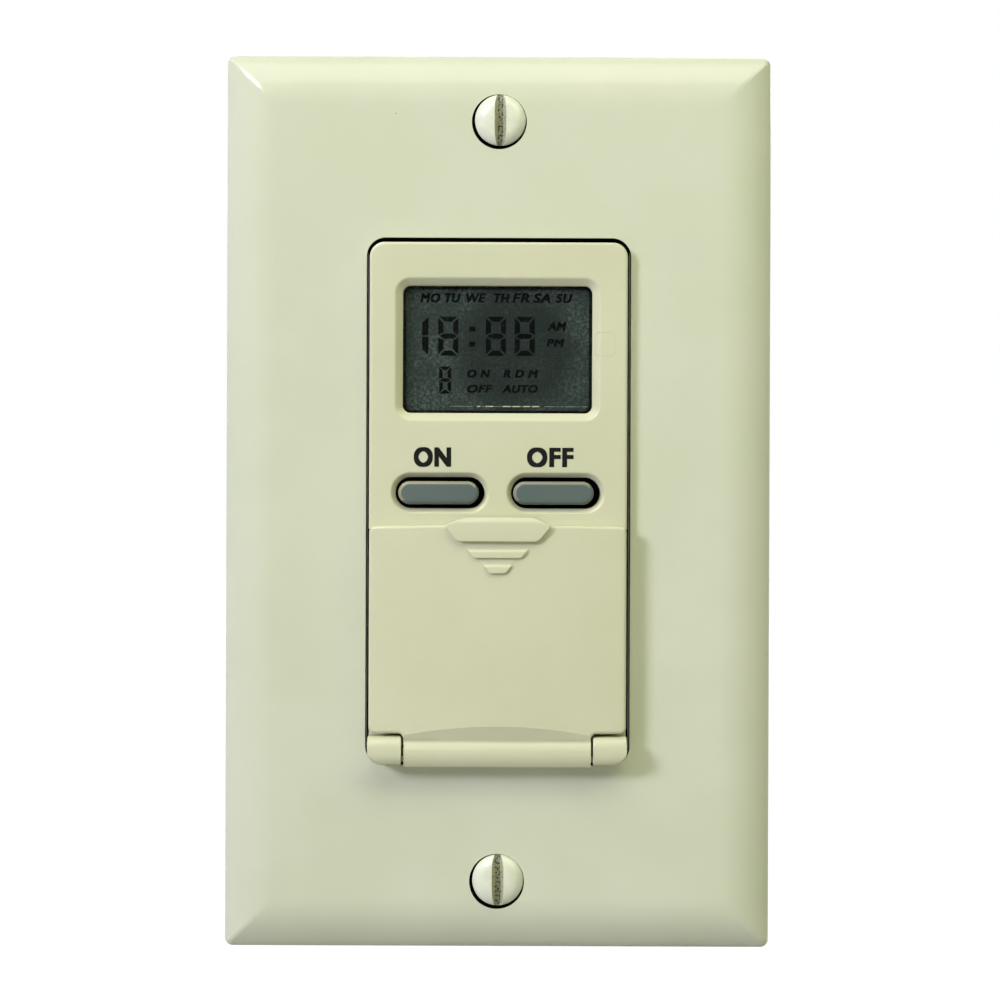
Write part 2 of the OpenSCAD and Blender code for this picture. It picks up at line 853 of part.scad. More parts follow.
module door_panel() {
    intersection() {
        between(door_back, door_out + tab_raise) {
            door_outline();
            translate([-barrel_l / 2, hinge_y])
                square([barrel_l, door_low_y - hinge_y + 1]);
        }
        under_crown();
    }
    intersection() {
        between(panel_out + seam_gap, door_out + tab_raise) tab_outline();
        under_crown(tab_raise);
    }
    intersection() {
        between(door_back + door_t / 2, door_out + tab_raise)
            for (i = [0, 1]) bar_outline(i);
        under_crown(bar_raise);
    }
}

// Flip-down door with a crowned face, a finger tab, a scoop and a hinge barrel
module access_door() {
    color(ivory_face)
    on_wall()
    difference() {
        union() {
            difference() {
                door_panel();
                translate([0, valley_y, valley_out])
                    rotate([scoop_slope, 0, 0])
                        translate([-barrel_l / 2 - seam_gap, -scoop_block, 0])
                            cube([barrel_l + 2 * seam_gap, 2 * scoop_block, scoop_block]);
                between(door_back - through, door_back + door_pocket)
                    translate([-door_w / 2 + door_rim, door_low_y + door_rim])
                        square([door_w - 2 * door_rim, door_top_y - door_low_y - 3 * door_rim]);
            }
            translate([0, hinge_y, hinge_out])
                rotate([0, 90, 0]) cylinder(r = barrel_r, h = barrel_l, center = true);
        }
        translate([0, hinge_y, hinge_out])
            rotate([0, 90, 0])
                cylinder(d = pin_d + 2 * running_gap, h = barrel_l + 2 * through, center = true);
    }
}

module hinge_pin() {
    color(steel)
    on_wall()
    translate([0, hinge_y, hinge_out])
        rotate([0, 90, 0]) cylinder(d = pin_d, h = pin_l, center = true);
}

// ON or OFF button: pill cap, retaining flange behind the panel and a stem to the switch
module rocker_button(spot) {
    color(button_grey)
    on_wall()
    translate([spot[0], spot[1], 0]) {
        between(button_flange_top - weld, panel_out + button_proud)
            pill(button_w, button_h);
        between(button_flange_top - cap_flange_t, button_flange_top)
            pill(button_w + 2 * (well_gap + button_lip), button_h + 2 * (well_gap + button_lip));
        between(plunger_top, button_flange_top - cap_flange_t + weld)
            circle(d = stem_d);
    }
}

module on_button() { rocker_button(on_spot); }
module off_button() { rocker_button(off_spot); }

// Programming key: cap, retaining flange behind the deck and a stem to the switch
module deck_key(spot, w, h) {
    color(key_grey)
    on_wall()
    translate([spot[0], spot[1], 0]) {
        between(key_flange_top - weld, deck_out + key_proud)
            round_rect(w, h, key_corner_r);
        between(key_flange_top - cap_flange_t, key_flange_top)
            round_rect(w + 2 * cap_lip, h + 2 * cap_lip, key_corner_r);
        between(plunger_top, key_flange_top - cap_flange_t + weld)
            circle(d = stem_d);
    }
}

module day_key() { deck_key(day_spot, row_key_w, row_key_h); }
module hour_key() { deck_key(hour_spot, row_key_w, row_key_h); }
module minute_key() { deck_key(minute_spot, row_key_w, row_key_h); }
module mode_key() { deck_key(mode_spot, column_key_w, column_key_h); }
module program_key() { deck_key(program_spot, column_key_w, column_key_h); }
module clock_key() { deck_key(clock_spot, column_key_w, column_key_h); }

// Recessed reset pin, pressed with a pen point
module reset_button() {
    color(key_grey)
    on_wall()
    translate([reset_spot[0], reset_spot[1], 0]) {
        between(key_flange_top - weld, deck_out - reset_sink)
            circle(d = reset_d);
        between(key_flange_top - cap_flange_t, key_flange_top)
            circle(d = reset_d + 2 * cap_lip);
        between(plunger_top, key_flange_top - cap_flange_t + weld)
            circle(d = reset_d);
    }
}

// Plunger of a push switch, with room below it for the travel
module plunger(spot, travel) {
    color(black_plastic)
    on_wall()
    translate([spot[0], spot[1], 0])
        between(board_front + travel + slide_gap, plunger_top)
            circle(d = plunger_d);
}

module on_plunger() { plunger(on_spot, button_travel); }
module off_plunger() { plunger(off_spot, button_travel); }
module day_plunger() { plunger(day_spot, key_travel); }
module hour_plunger() { plunger(hour_spot, key_travel); }
module minute_plunger() { plunger(minute_spot, key_travel); }
module mode_plunger() { plunger(mode_spot, key_travel); }
module program_plunger() { plunger(program_spot, key_travel); }
module clock_plunger() { plunger(clock_spot, key_travel); }
module reset_plunger() { plunger(reset_spot, key_travel); }

module switch_bodies() {
    color([0.2, 0.2, 0.2])
    on_wall()
    for (spot = switch_spots)
        translate([spot[0], spot[1], 0])
            between(board_front, switch_top)
                difference() {
                    square(switch_w, center = true);
                    circle(d = plunger_d + 2 * seat_gap);
                }
}

// Quarter-turn battery cap with a coin slot and two bayonet lugs under the deck
module battery_cap() {
    color(key_grey)
    on_wall()
    translate([cap_spot[0], cap_spot[1], 0])
    difference() {
        union() {
            translate([0, 0, cap_low]) cylinder(d = battery_cap_d, h = cap_out - cap_low);
            translate([0, 0, cap_low])
                rotate([0, 0, lug_turn])
                intersection() {
                    cylinder(d = battery_cap_d + 2 * cap_lug_reach, h = cap_lug_t);
                    translate([-battery_cap_d, -cap_lug_w / 2, 0])
                        cube([2 * battery_cap_d, cap_lug_w, cap_lug_t]);
                }
        }
        between(cap_out - coin_slot_depth, cap_out + through)
            pill(coin_slot_l, coin_slot_w);
    }
}

module coin_cell() {
    color(steel)
    on_wall()
    translate([cap_spot[0], cap_spot[1], cell_low])
        cylinder(d = cell_d, h = cell_t);
}

// Cup on the front board that holds the cell over its spring contact
module battery_holder() {
    color(black_plastic)
    on_wall()
    translate([cap_spot[0], cap_spot[1], 0])
    difference() {
        translate([0, 0, board_front]) cylinder(r = holder_r, h = cell_top - board_front);
        translate([0, 0, cell_low - contact_t])
            cylinder(d = cell_d + 2 * seat_gap, h = cell_t + contact_t + through);
        translate([0, 0, board_front - through]) cylinder(d = stem_d, h = cell_low - board_front + through);
        between(board_front - through, cell_top + through)
            translate([cell_d / 2 + seat_gap, 0])
                square([2 * (contact_t + seat_gap), clip_w + 2 * seat_gap], center = true);
    }
}

// Leaf under the cell with its stem to the board, and a clip against the cell's rim
module battery_contacts() {
    color(brass)
    on_wall()
    translate([cap_spot[0], cap_spot[1], 0]) {
        translate([0, 0, cell_low - contact_t]) cylinder(d = cell_d - 2 * leaf_inset, h = contact_t);
        translate([0, 0, board_front])
            cylinder(d = stem_d - 2 * leaf_stem_gap, h = cell_low - contact_t - board_front + weld);
        between(board_front, cell_top)
            translate([cell_d / 2 + seat_gap + contact_t / 2, 0])
                square([contact_t, clip_w], center = true);
    }
}

// Front board's outline, notched at the corners for the housing's bosses
module board_outline() {
    difference() {
        square([board_w, board_h], center = true);
        for (x = [-1, 1], y = [-1, 1])
            translate([x * board_w / 2, y * board_h / 2]) square([2 * notch_w, 2 * notch_h], center = true);
    }
}

module control_board() {
    color(board_green)
    on_wall()
    difference() {
        between(board_back, board_front)
            board_outline();
        at_posts()
            translate([0, 0, board_back - through])
                cylinder(d = board_screw_d + 2 * seat_gap, h = board_t + 2 * through);
    }
}

module microcontroller() {
    color(black_plastic)
    on_wall()
    translate([chip_spot[0], chip_spot[1], 0])
        between(board_back - chip_t, board_back)
            square(chip_w, center = true);
}

module clock_crystal() {
    color(steel)
    on_wall()
    translate([crystal_spot[0], crystal_spot[1], 0])
        between(board_back - crystal_size[2], board_back)
            pill(crystal_size[0], crystal_size[1]);
}

function header_x(i) = header_spot[0] + (i - (header_pins_n - 1) / 2) * header_pitch;

// Socket strip on the rear board that carries the pins to the front board
module header_strip() {
    color(black_plastic)
    on_wall()
    between(power_front, power_front + header_h)
        difference() {
            translate(header_spot)
                square([header_pins_n * header_pitch, header_pitch], center = true);
            for (i = [0 : header_pins_n - 1])
                translate([header_x(i), header_spot[1]]) circle(d = header_pin_d + 2 * running_gap);
        }
}

module header_pins() {
    color(brass)
    on_wall()
    for (i = [0 : header_pins_n - 1])
        translate([header_x(i), header_spot[1], 0])
            between(power_front, board_back)
                circle(d = header_pin_d);
}

module power_board() {
    color(board_green)
    on_wall()
    difference() {
        between(power_back, power_front)
            square([power_w, power_h], center = true);
        at_posts()
            translate([0, 0, power_back - through])
                cylinder(d = board_screw_d + 2 * seat_gap, h = board_t + 2 * through);
    }
}

module at_relay() {
    translate([relay_spot[0], relay_spot[1], 0]) children();
}

module relay_base() {
    color(black_plastic)
    on_wall()
    at_relay()
        between(power_front, relay_floor)
            square([relay_w - 2 * relay_wall - 2 * seat_gap, relay_l - 2 * relay_wall - 2 * seat_gap],
                center = true);
}

module relay_cover() {
    color([0.16, 0.28, 0.55])
    on_wall()
    at_relay()
    difference() {
        between(power_front, relay_top)
            square([relay_w, relay_l], center = true);
        between(power_front - through, relay_top - relay_wall)
            square([relay_w - 2 * relay_wall, relay_l - 2 * relay_wall], center = true);
    }
}

module relay_coil() {
    color([0.62, 0.30, 0.16])
    on_wall()
    at_relay()
    translate([0, coil_y, 0])
        between(relay_floor + yoke_t, pole_out - yoke_t)
            difference() {
                circle(d = coil_d);
                circle(d = core_d + 2 * running_gap);
            }
}

// Steel foot, core with its pole, and the upright that carries the armature
module relay_yoke() {
    upright_top = pole_out + armature_gap - running_gap;
    color(steel)
    on_wall()
    at_relay() {
        between(relay_floor, relay_floor + yoke_t)
            translate([-yoke_w / 2, coil_y - coil_d / 2])
                square([yoke_w, yoke_back_y + yoke_t - coil_y + coil_d / 2]);
        between(relay_floor + yoke_t - weld, upright_top)
            translate([-yoke_w / 2, yoke_back_y]) square([yoke_w, yoke_t]);
        translate([0, coil_y, relay_floor + yoke_t - weld])
            cylinder(d = core_d, h = pole_out - relay_floor - yoke_t + weld);
    }
}

// Hinged steel plate with the moving contact at its free end
module relay_armature() {
    low = pole_out + armature_gap;
    color(steel)
    on_wall()
    at_relay() {
        between(low, low + armature_t)
            translate([-yoke_w / 2, yoke_back_y + yoke_t - armature_l]) square([yoke_w, armature_l]);
        between(low - blade_t, low + weld)
            translate([0, contact_y]) circle(d = contact_d);
    }
}

// Fixed contact on its post under the moving one
module relay_contacts() {
    top = pole_out + armature_gap - blade_t - contact_stand;
    color(brass)
    on_wall()
    at_relay()
    translate([0, contact_y, 0]) {
        between(top - blade_t, top) circle(d = contact_d);
        between(relay_floor, top - blade_t + weld)
            square([contact_post_w, blade_t], center = true);
    }
}

module film_capacitor() {
    color([0.75, 0.60, 0.18])
    on_wall()
    translate([film_spot[0], film_spot[1], 0])
        between(power_front, power_front + film_size[2])
            round_rect(film_size[0], film_size[1], film_corner_r);
}

module smoothing_capacitor() {
    color([0.14, 0.16, 0.30])
    on_wall()
    translate([can_spot[0], can_spot[1], power_front])
        difference() {
            cylinder(d = can_d, h = can_h);
            translate([0, 0, can_groove_rise])
                rotate_extrude() translate([can_d / 2, 0]) circle(r = can_groove_r, $fn = 24);
        }
}

// Disc on two leads
module surge_varistor() {
    color([0.15, 0.32, 0.60])
    on_wall()
    translate([varistor_spot[0], varistor_spot[1], 0]) {
        translate([0, 0, power_front + varistor_stand + varistor_d / 2])
            rotate([90, 0, 0]) cylinder(d = varistor_d, h = varistor_t, center = true);
        for (x = [-1, 1])
            translate([x * varistor_lead_x, 0, power_front])
                cylinder(d = lead_d, h = varistor_d / 2);
    }
}

module board_spacers() {
    color(steel)
    on_wall()
    at_posts()
        between(power_front, board_back)
            difference() {
                circle(d = spacer_d);
                circle(d = board_screw_d + 2 * seat_gap);
            }
}

// Long screws through both boards and their spacers into the housing's bosses
module board_screws() {
    screw_end = housing_floor + board_screw_end_gap;
    color(steel)
    on_wall()
    at_posts()
    difference() {
        union() {
            translate([0, 0, board_front]) cylinder(d = board_screw_head_d, h = board_screw_head_t);
            translate([0, 0, screw_end]) cylinder(d = board_screw_d, h = board_front - screw_end + weld);
        }
        for (turn = [0, 90])
            rotate([0, 0, turn])
                translate([-board_cross_l / 2, -board_cross_w / 2,
                    board_front + board_screw_head_t - board_cross_depth])
                    cube([board_cross_l, board_cross_w, board_screw_head_t]);
    }
}

// Open-fronted box with screw bosses and three recessed terminals in its sides
module rear_housing() {
    in_w = housing_w - 2 * housing_wall;
    in_h = housing_h - 2 * housing_wall;
    recess_in = housing_w / 2 - recess_depth;
    vent_w = 1.6;
    vent_pitch = 4;
    vent_l = 12;
    vent_past = 1;
    color([0.20, 0.20, 0.21])
    on_wall()
    difference() {
        union() {
            difference() {
                between(housing_back, flange_back)
                    round_rect(housing_w, housing_h, strap_corner_r);
                between(housing_floor, flange_back + through)
                    round_rect(in_w, in_h, housing_in_r);
            }
            at_housing_screws()
                translate([0, 0, housing_floor - weld])
                    cylinder(d = housing_boss_d, h = flange_back - housing_floor + weld);
            at_posts()
                translate([0, 0, housing_floor - weld])
                    cylinder(d = post_d, h = power_back - housing_floor + weld);
            at_terminals()
                translate([0, 0, recess_in - recess_wall])
                    linear_extrude(height = recess_depth + recess_wall - recess_set_back)
                        square(recess_w + 2 * recess_wall, center = true);
        }
        at_terminals() {
            translate([0, 0, recess_in])
                linear_extrude(height = recess_depth + through) square(recess_w, center = true);
            translate([0, 0, recess_in - recess_wall - through])
                cylinder(d = terminal_screw_d + 2 * seat_gap, h = recess_wall + 2 * through);
        }
        for (spot = terminal_spots)
            translate([spot[0] * recess_in, spot[1], terminal_out - tail_drop])
                cube([4 * recess_wall, tail_w + 2 * seat_gap, tail_t + 2 * seat_gap], center = true);
        at_housing_screws()
            translate([0, 0, flange_back - housing_screw_l])
                cylinder(d = housing_screw_d + 2 * running_gap, h = housing_screw_l + through);
        at_posts()
            translate([0, 0, housing_floor])
                cylinder(d = board_screw_d + 2 * running_gap, h = power_back - housing_floor + through);
        for (y = [-1, 1], x = [-1, 0, 1])
            translate([x * vent_pitch, y * (housing_h - housing_wall) / 2,
                (housing_back + flange_back) / 2])
                cube([vent_w, housing_wall + 2 * vent_past, vent_l], center = true);
    }
}

// Pan-head screws through the strap and the bezel's flange into the housing
module housing_screws() {
    shank_l = strap_t + flange_t + housing_screw_l - housing_screw_end_gap;
    color(steel)
    on_wall()
    at_housing_screws()
    difference() {
        union() {
            translate([0, 0, strap_t]) cylinder(d = housing_screw_head_d, h = housing_screw_head_t);
            translate([0, 0, strap_t - shank_l]) cylinder(d = housing_screw_d, h = shank_l + weld);
        }
        for (turn = [0, 90])
            rotate([0, 0, turn])
                translate([-housing_cross_l / 2, -housing_cross_w / 2,
                    strap_t + housing_screw_head_t - housing_cross_depth])
                    cube([housing_cross_l, housing_cross_w, housing_screw_head_t]);
    }
}

// Brass plates on the recess floors, each with a tail to the rear board
module terminal_plates() {
    floor_x = housing_w / 2 - recess_depth;
    tail_x = floor_x - tail_reach;
    color(brass)
    on_wall() {
        at_terminals()
            translate([0, 0, floor_x])
                linear_extrude(height = terminal_plate_t)
                    difference() {
                        square(terminal_plate_w, center = true);
                        circle(d = terminal_screw_d + 2 * running_gap);
                    }
        for (spot = terminal_spots)
            translate([spot[0] * floor_x, spot[1], 0])
                mirror([spot[0] > 0 ? 0 : 1, 0, 0]) {
                    translate([-tail_reach, -tail_w / 2, terminal_out - tail_drop - tail_t / 2])
                        cube([tail_reach + terminal_plate_t / 2, tail_w, tail_t]);
                    translate([-tail_reach, -tail_w / 2, power_front])
                        cube([tail_t, tail_w, terminal_out - tail_drop - power_front]);
                }
    }
}

// Binding-head screws with a straight slot
module terminal_screws() {
    head_low = housing_w / 2 + terminal_head_proud - terminal_head_t;
    color(brass)
    on_wall()
    at_terminals()
    difference() {
        union() {
            translate([0, 0, head_low]) cylinder(d = terminal_head_d, h = terminal_head_t);
            translate([0, 0, head_low - terminal_shank_l])
                cylinder(d = terminal_screw_d, h = terminal_shank_l + weld);
        }
        translate([-terminal_slot_w / 2, -terminal_head_d, head_low + terminal_head_t - terminal_slot_depth])
            cube([terminal_slot_w, 2 * terminal_head_d, terminal_slot_depth + through]);
    }
}

wall_plate();
plate_screws();
mounting_strap();
ground_screw();
front_bezel();
display_lens();
display_glass();
display_holder();
zebra_strips();
access_door();
hinge_pin();
on_button();
on_plunger();
off_button();
off_plunger();
day_key();
day_plunger();
hour_key();
hour_plunger();
minute_key();
minute_plunger();
mode_key();
mode_plunger();
program_key();
program_plunger();
clock_key();
clock_plunger();
reset_button();
reset_plunger();
switch_bodies();
battery_cap();
coin_cell();
battery_holder();
battery_contacts();
control_board();
microcontroller();
clock_crystal();
header_strip();
header_pins();
power_board();
relay_base();
relay_cover();
relay_coil();
relay_yoke();
relay_armature();
relay_contacts();
film_capacitor();
smoothing_capacitor();
surge_varistor();
board_spacers();
board_screws();
rear_housing();
housing_screws();
terminal_plates();
terminal_screws();
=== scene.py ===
"""Looks of an in-wall timer switch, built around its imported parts.

Every piece is drawn lying on its back in millimetres (x right, y up, z out of the wall) and is then
stood up in the frame, which is in metres, with the front at -Y and the wall at y = 0.
"""

import functools
import itertools
import logging
import math
from collections.abc import Callable, Iterable, Sequence
from dataclasses import dataclass, field, replace
from enum import Enum

import bmesh
import bpy
from mathutils import Matrix, Vector


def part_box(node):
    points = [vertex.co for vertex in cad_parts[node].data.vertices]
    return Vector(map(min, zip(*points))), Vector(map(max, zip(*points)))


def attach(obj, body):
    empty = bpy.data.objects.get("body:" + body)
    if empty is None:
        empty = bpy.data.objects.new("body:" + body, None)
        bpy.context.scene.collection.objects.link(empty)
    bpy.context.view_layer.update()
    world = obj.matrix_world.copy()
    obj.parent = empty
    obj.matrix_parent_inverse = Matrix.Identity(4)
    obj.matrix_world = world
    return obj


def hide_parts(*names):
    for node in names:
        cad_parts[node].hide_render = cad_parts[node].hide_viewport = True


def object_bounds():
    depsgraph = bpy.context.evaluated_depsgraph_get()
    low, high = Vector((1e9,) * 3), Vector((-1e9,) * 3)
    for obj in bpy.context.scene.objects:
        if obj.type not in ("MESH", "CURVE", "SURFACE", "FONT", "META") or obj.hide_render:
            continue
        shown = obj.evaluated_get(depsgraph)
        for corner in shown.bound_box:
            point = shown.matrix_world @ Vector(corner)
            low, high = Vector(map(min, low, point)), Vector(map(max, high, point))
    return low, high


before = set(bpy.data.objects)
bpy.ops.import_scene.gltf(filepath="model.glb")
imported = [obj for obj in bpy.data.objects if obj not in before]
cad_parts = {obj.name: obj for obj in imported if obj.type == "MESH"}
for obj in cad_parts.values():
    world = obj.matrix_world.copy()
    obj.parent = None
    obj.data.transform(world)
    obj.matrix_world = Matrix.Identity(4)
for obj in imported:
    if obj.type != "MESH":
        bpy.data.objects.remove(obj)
cad_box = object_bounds()

log = logging.getLogger("timer_switch")

Colour = tuple[float, float, float]
Point = tuple[float, float]
Triple = tuple[float, float, float]
Ring = list[bmesh.types.BMEdge]

# The bench works in millimetres, and the studio is set out in metres.
MM = 0.001
STAND = Matrix.Scale(MM, 4) @ Matrix.Rotation(math.radians(90), 4, "X")
LAY_ALONG_X = Matrix(((0, 0, 1, 0), (1, 0, 0, 0), (0, 1, 0, 0), (0, 0, 0, 1)))

# How finely corners, soft edges, eased edges and full turns are cut.
ARC_STEPS = 12
SOFT_STEPS = 6
EASE_STEPS = 2
TURN_STEPS = 64

# The flat kept beside a soft edge, the smallest edges and corners, and the smallest gaps.
APRON = 0.25
LOW_EDGE = 0.03
SMALL_EDGE = 0.05
STACK_GAP = 0.006
LEAST_CORNER = 0.12
LEAST_LIFT = 0.001
MERGE_GAP = 0.0005
PACKED_MERGE_GAP = 0.002

# Angles up to which faces are one flat and above which edges are sharp, and how squarely a face looks out.
FLAT_ANGLE = math.radians(0.5)
SHARP_ANGLE = math.radians(32)
CREASE_ANGLE = math.radians(17)
FACING_OUT = 0.9

# Letters' spacing, the share of their weight that goes upwards and their depth, and a thread's tooth.
LETTER_SPACE = 1.12
LETTER_RISE = 0.7
LETTER_DEPTH = 0.5
TOOTH_SHARE = 0.42

# Places that sub-assemblies share.
SCREW_Y = 48.42
HINGE_Y = -31.65
HINGE_OUT = 7.1
PANEL_OUT = 7.0
WINDOW_SPOT = (-0.12, 19.35)
BATTERY_SPOT = (-6.8, -19.5)


class Body(str, Enum):
    """The bodies of the frame that pieces ride on."""

    DEVICE = "device"
    DOOR = "door"
    BATTERY_DOOR = "battery_door"
    ON_PUSH = "on_push"
    OFF_PUSH = "off_push"
    RESET_PUSH = "reset_push"
    DAY_PUSH = "day_push"
    HOUR_PUSH = "hour_push"
    MINUTE_PUSH = "minute_push"
    MODE_PUSH = "mode_push"
    PROGRAM_PUSH = "program_push"
    CLOCK_PUSH = "clock_push"


class Join(Enum):
    """How one shape meets another."""

    ADD = "UNION"
    TAKE = "DIFFERENCE"


class Shade(Enum):
    """The shades of the stage."""

    WHITE = (1.0, 1.0, 1.0, 1.0)
    PALE = (0.4, 0.4, 0.38, 1.0)


def linear(colour: Colour) -> tuple[float, float, float, float]:
    """Turns a screen colour from 0 to 255 into the linear colour that a shader takes.

    Args:
        colour: Red, green and blue as a screen shows them.

    Returns:
        The linear colour with full alpha.
    """
    parts = []
    for part in colour:
        share = part / 255
        parts.append(share / 12.92 if share <= 0.04045 else ((share + 0.055) / 1.055) ** 2.4)
    return (*parts, 1.0)


class Value:
    """A number that varies over a surface; Python's operators add the Math nodes."""

    def __init__(self, graph: "Graph", socket: bpy.types.NodeSocket) -> None:
        """Wraps one output socket of a graph."""
        self.graph = graph
        self.socket = socket

    def combine(self, operation: str, first: "Value | float", second: "Value | float") -> "Value":
        """Adds one Math node on two numbers and returns its result."""
        node = self.graph.node("ShaderNodeMath", {"operation": operation}, {0: first, 1: second})
        return Value(self.graph, node.outputs[0])

    def __add__(self, other: "Value | float") -> "Value":
        """Adds."""
        return self.combine("ADD", self, other)

    def __radd__(self, other: float) -> "Value":
        """Adds to a plain number."""
        return self.combine("ADD", other, self)

    def __sub__(self, other: "Value | float") -> "Value":
        """Subtracts."""
        return self.combine("SUBTRACT", self, other)

    def __rsub__(self, other: float) -> "Value":
        """Subtracts from a plain number."""
        return self.combine("SUBTRACT", other, self)

    def __mul__(self, other: "Value | float") -> "Value":
        """Multiplies."""
        return self.combine("MULTIPLY", self, other)

    def __rmul__(self, other: float) -> "Value":
        """Multiplies a plain number."""
        return self.combine("MULTIPLY", other, self)

    def larger(self, other: "Value") -> "Value":
        """Returns the larger of two numbers."""
        return self.combine("MAXIMUM", self, other)

    def between(self, low: float, high: float) -> "Value":
        """Eases from 0 at low to 1 at high, held at both ends.

        Args:
            low: Where it leaves 0.
            high: Where it reaches 1.

        Returns:
            The eased number.
        """
        node = self.graph.node(
            "ShaderNodeMapRange", {"interpolation_type": "SMOOTHSTEP"}, {0: self, 1: low, 2: high}
        )
        return Value(self.graph, node.outputs[0])


class Graph:
    """A node tree and the nodes that are added to it."""

    def __init__(self, tree: bpy.types.NodeTree) -> None:
        """Starts from an emptied tree."""
        self.tree = tree
        tree.nodes.clear()

    def node(
        self,
        kind: str,
        settings: dict[str, object] | None = None,
        inputs: dict[int | str, object] | None = None,
    ) -> bpy.types.Node:
        """Adds one node.

        Args:
            kind: The node's type.
            settings: Its properties, which are set first.
            inputs: The values or links of its sockets, by name or number.

        Returns:
            The node.
        """
        node = self.tree.nodes.new(kind)
        for name, value in (settings or {}).items():
            setattr(node, name, value)
        for key, value in (inputs or {}).items():
            self.feed(node.inputs[key], value)
        return node

    def feed(self, socket: bpy.types.NodeSocket, value: object) -> None:
        """Links a socket to a value of the graph, or sets it to a constant.

        Args:
            socket: The socket.
            value: A value or socket of the graph, or a constant.
        """
        if isinstance(value, Value):
            value = value.socket
        if isinstance(value, bpy.types.NodeSocket):
            self.tree.links.new(value, socket)
        else:
            socket.default_value = value

    def mix(self, factor: Value, first: object, second: object) -> bpy.types.NodeSocket:
        """Blends two colours, from the first at 0 to the second at 1."""
        node = self.node("ShaderNodeMix", {"data_type": "RGBA"}, {0: factor, 6: first, 7: second})
        return node.outputs[2]


class Surface(Graph):
    """The node tree of one material, ending in a Principled shader."""

    def __init__(self, name: str) -> None:
        """Starts a material with a shader and Object coordinates.

        Args:
            name: The material's name.
        """
        self.material = bpy.data.materials.new(name)
        self.material.use_nodes = True
        super().__init__(self.material.node_tree)
        self.shader = self.node("ShaderNodeBsdfPrincipled")
        self.output = self.node("ShaderNodeOutputMaterial", None, {0: self.shader.outputs[0]})
        self.place = self.node("ShaderNodeTexCoord").outputs["Object"]

    def noise(self, size: float, detail: float = 3, stretch: Triple = (1, 1, 1)) -> Value:
        """Adds a cloudy noise.

        Args:
            size: Width of its blotches in millimetres.
            detail: How many finer layers it has.
            stretch: How fast it changes along x, y and z of the frame.

        Returns:
            A number about 0.5.
        """
        place = self.node("ShaderNodeMapping", None, {"Vector": self.place, "Scale": stretch})
        node = self.node(
            "ShaderNodeTexNoise",
            None,
            {"Vector": place.outputs[0], "Scale": 1 / (size * MM), "Detail": detail},
        )
        return Value(self, node.outputs["Fac"])

    def cells(self, size: float) -> Value:
        """Adds scattered points.

        Args:
            size: Their spacing in millimetres.

        Returns:
            The distance to the nearest point, as a share of their spacing.
        """
        node = self.node(
            "ShaderNodeTexVoronoi", None, {"Vector": self.place, "Scale": 1 / (size * MM)}
        )
        return Value(self, node.outputs["Distance"])

    def distance(self, spot: Triple) -> Value:
        """Measures how far the surface is from a spot.

        Args:
            spot: The spot on the bench.

        Returns:
            The distance in millimetres.
        """
        node = self.node(
            "ShaderNodeVectorMath",
            {"operation": "DISTANCE"},
            {0: self.place, 1: STAND @ Vector(spot)},
        )
        return Value(self, node.outputs["Value"]) * (1 / MM)

    def bands(self, size: float, axis: str, wander: float = 0.4) -> Value:
        """Adds even bands across one axis of the frame.

        Args:
            size: Width of a band in millimetres.
            axis: The axis, X, Y or Z.
            wander: How far the bands stray from straight.

        Returns:
            A number from 0 to 1 across each band.
        """
        node = self.node(
            "ShaderNodeTexWave",
            {"bands_direction": axis},
            {"Vector": self.place, "Scale": 1 / (size * MM * math.pi), "Distortion": wander},
        )
        return Value(self, node.outputs["Fac"])

    def relief(self, height: Value, depth: float) -> bpy.types.NodeSocket:
        """Turns a height from 0 to 1 into a normal, for a relief of that depth in millimetres."""
        node = self.node("ShaderNodeBump", None, {"Distance": depth * MM, "Height": height})
        return node.outputs[0]

    def finish(self, inputs: dict[str, object]) -> bpy.types.Material:
        """Feeds the shader's sockets.

        Args:
            inputs: Values of the sockets, by name.

        Returns:
            The finished material.
        """
        for name, value in inputs.items():
            self.feed(self.shader.inputs[name], value)
        return self.material


@dataclass(frozen=True)
class Plastic:
    """A moulded plastic with slow mottle, fine surface grain, smudges and a little dust."""

    name: str
    colour: Colour
    tint: Colour
    rough: float
    grain: float = 0.16
    depth: float = 0.004
    dust: float = 0.03
    coat: float = 0.0
    shine: float = 0.5
    mottle_size: float = 14.0
    mottle_span: Point = (0.35, 0.68)
    smudge_size: float = 7.0
    smudge_span: Point = (0.3, 0.75)
    smudge_rough: float = 0.1
    dust_gap: float = 4.2
    dust_patch: float = 9.0
    dust_span: Point = (0.5, 0.6)
    dust_shade: float = 0.62
    dust_cover: float = 0.8
    coat_rough: float = 0.06

    def material(self) -> bpy.types.Material:
        """Builds the material.

        Returns:
            The material.
        """
        graph = Surface(self.name)
        mottle = graph.noise(self.mottle_size, 4).between(*self.mottle_span)
        base = graph.mix(mottle, linear(self.colour), linear(self.tint))
        grit = 1 - graph.cells(self.dust_gap).between(self.dust * 0.5, self.dust)
        speck = grit * graph.noise(self.dust_patch).between(*self.dust_span)
        dusty = tuple(part * self.dust_shade for part in self.colour)
        smudge = graph.noise(self.smudge_size, 5).between(*self.smudge_span)
        grain = graph.noise(self.grain, 2)
        return graph.finish(
            {
                "Base Color": graph.mix(speck * self.dust_cover, base, linear(dusty)),
                "Roughness": self.rough + (smudge - 0.5) * self.smudge_rough,
                "Specular IOR Level": self.shine,
                "Coat Weight": self.coat,
                "Coat Roughness": self.coat_rough,
                "Normal": graph.relief(grain, self.depth),
            }
        )


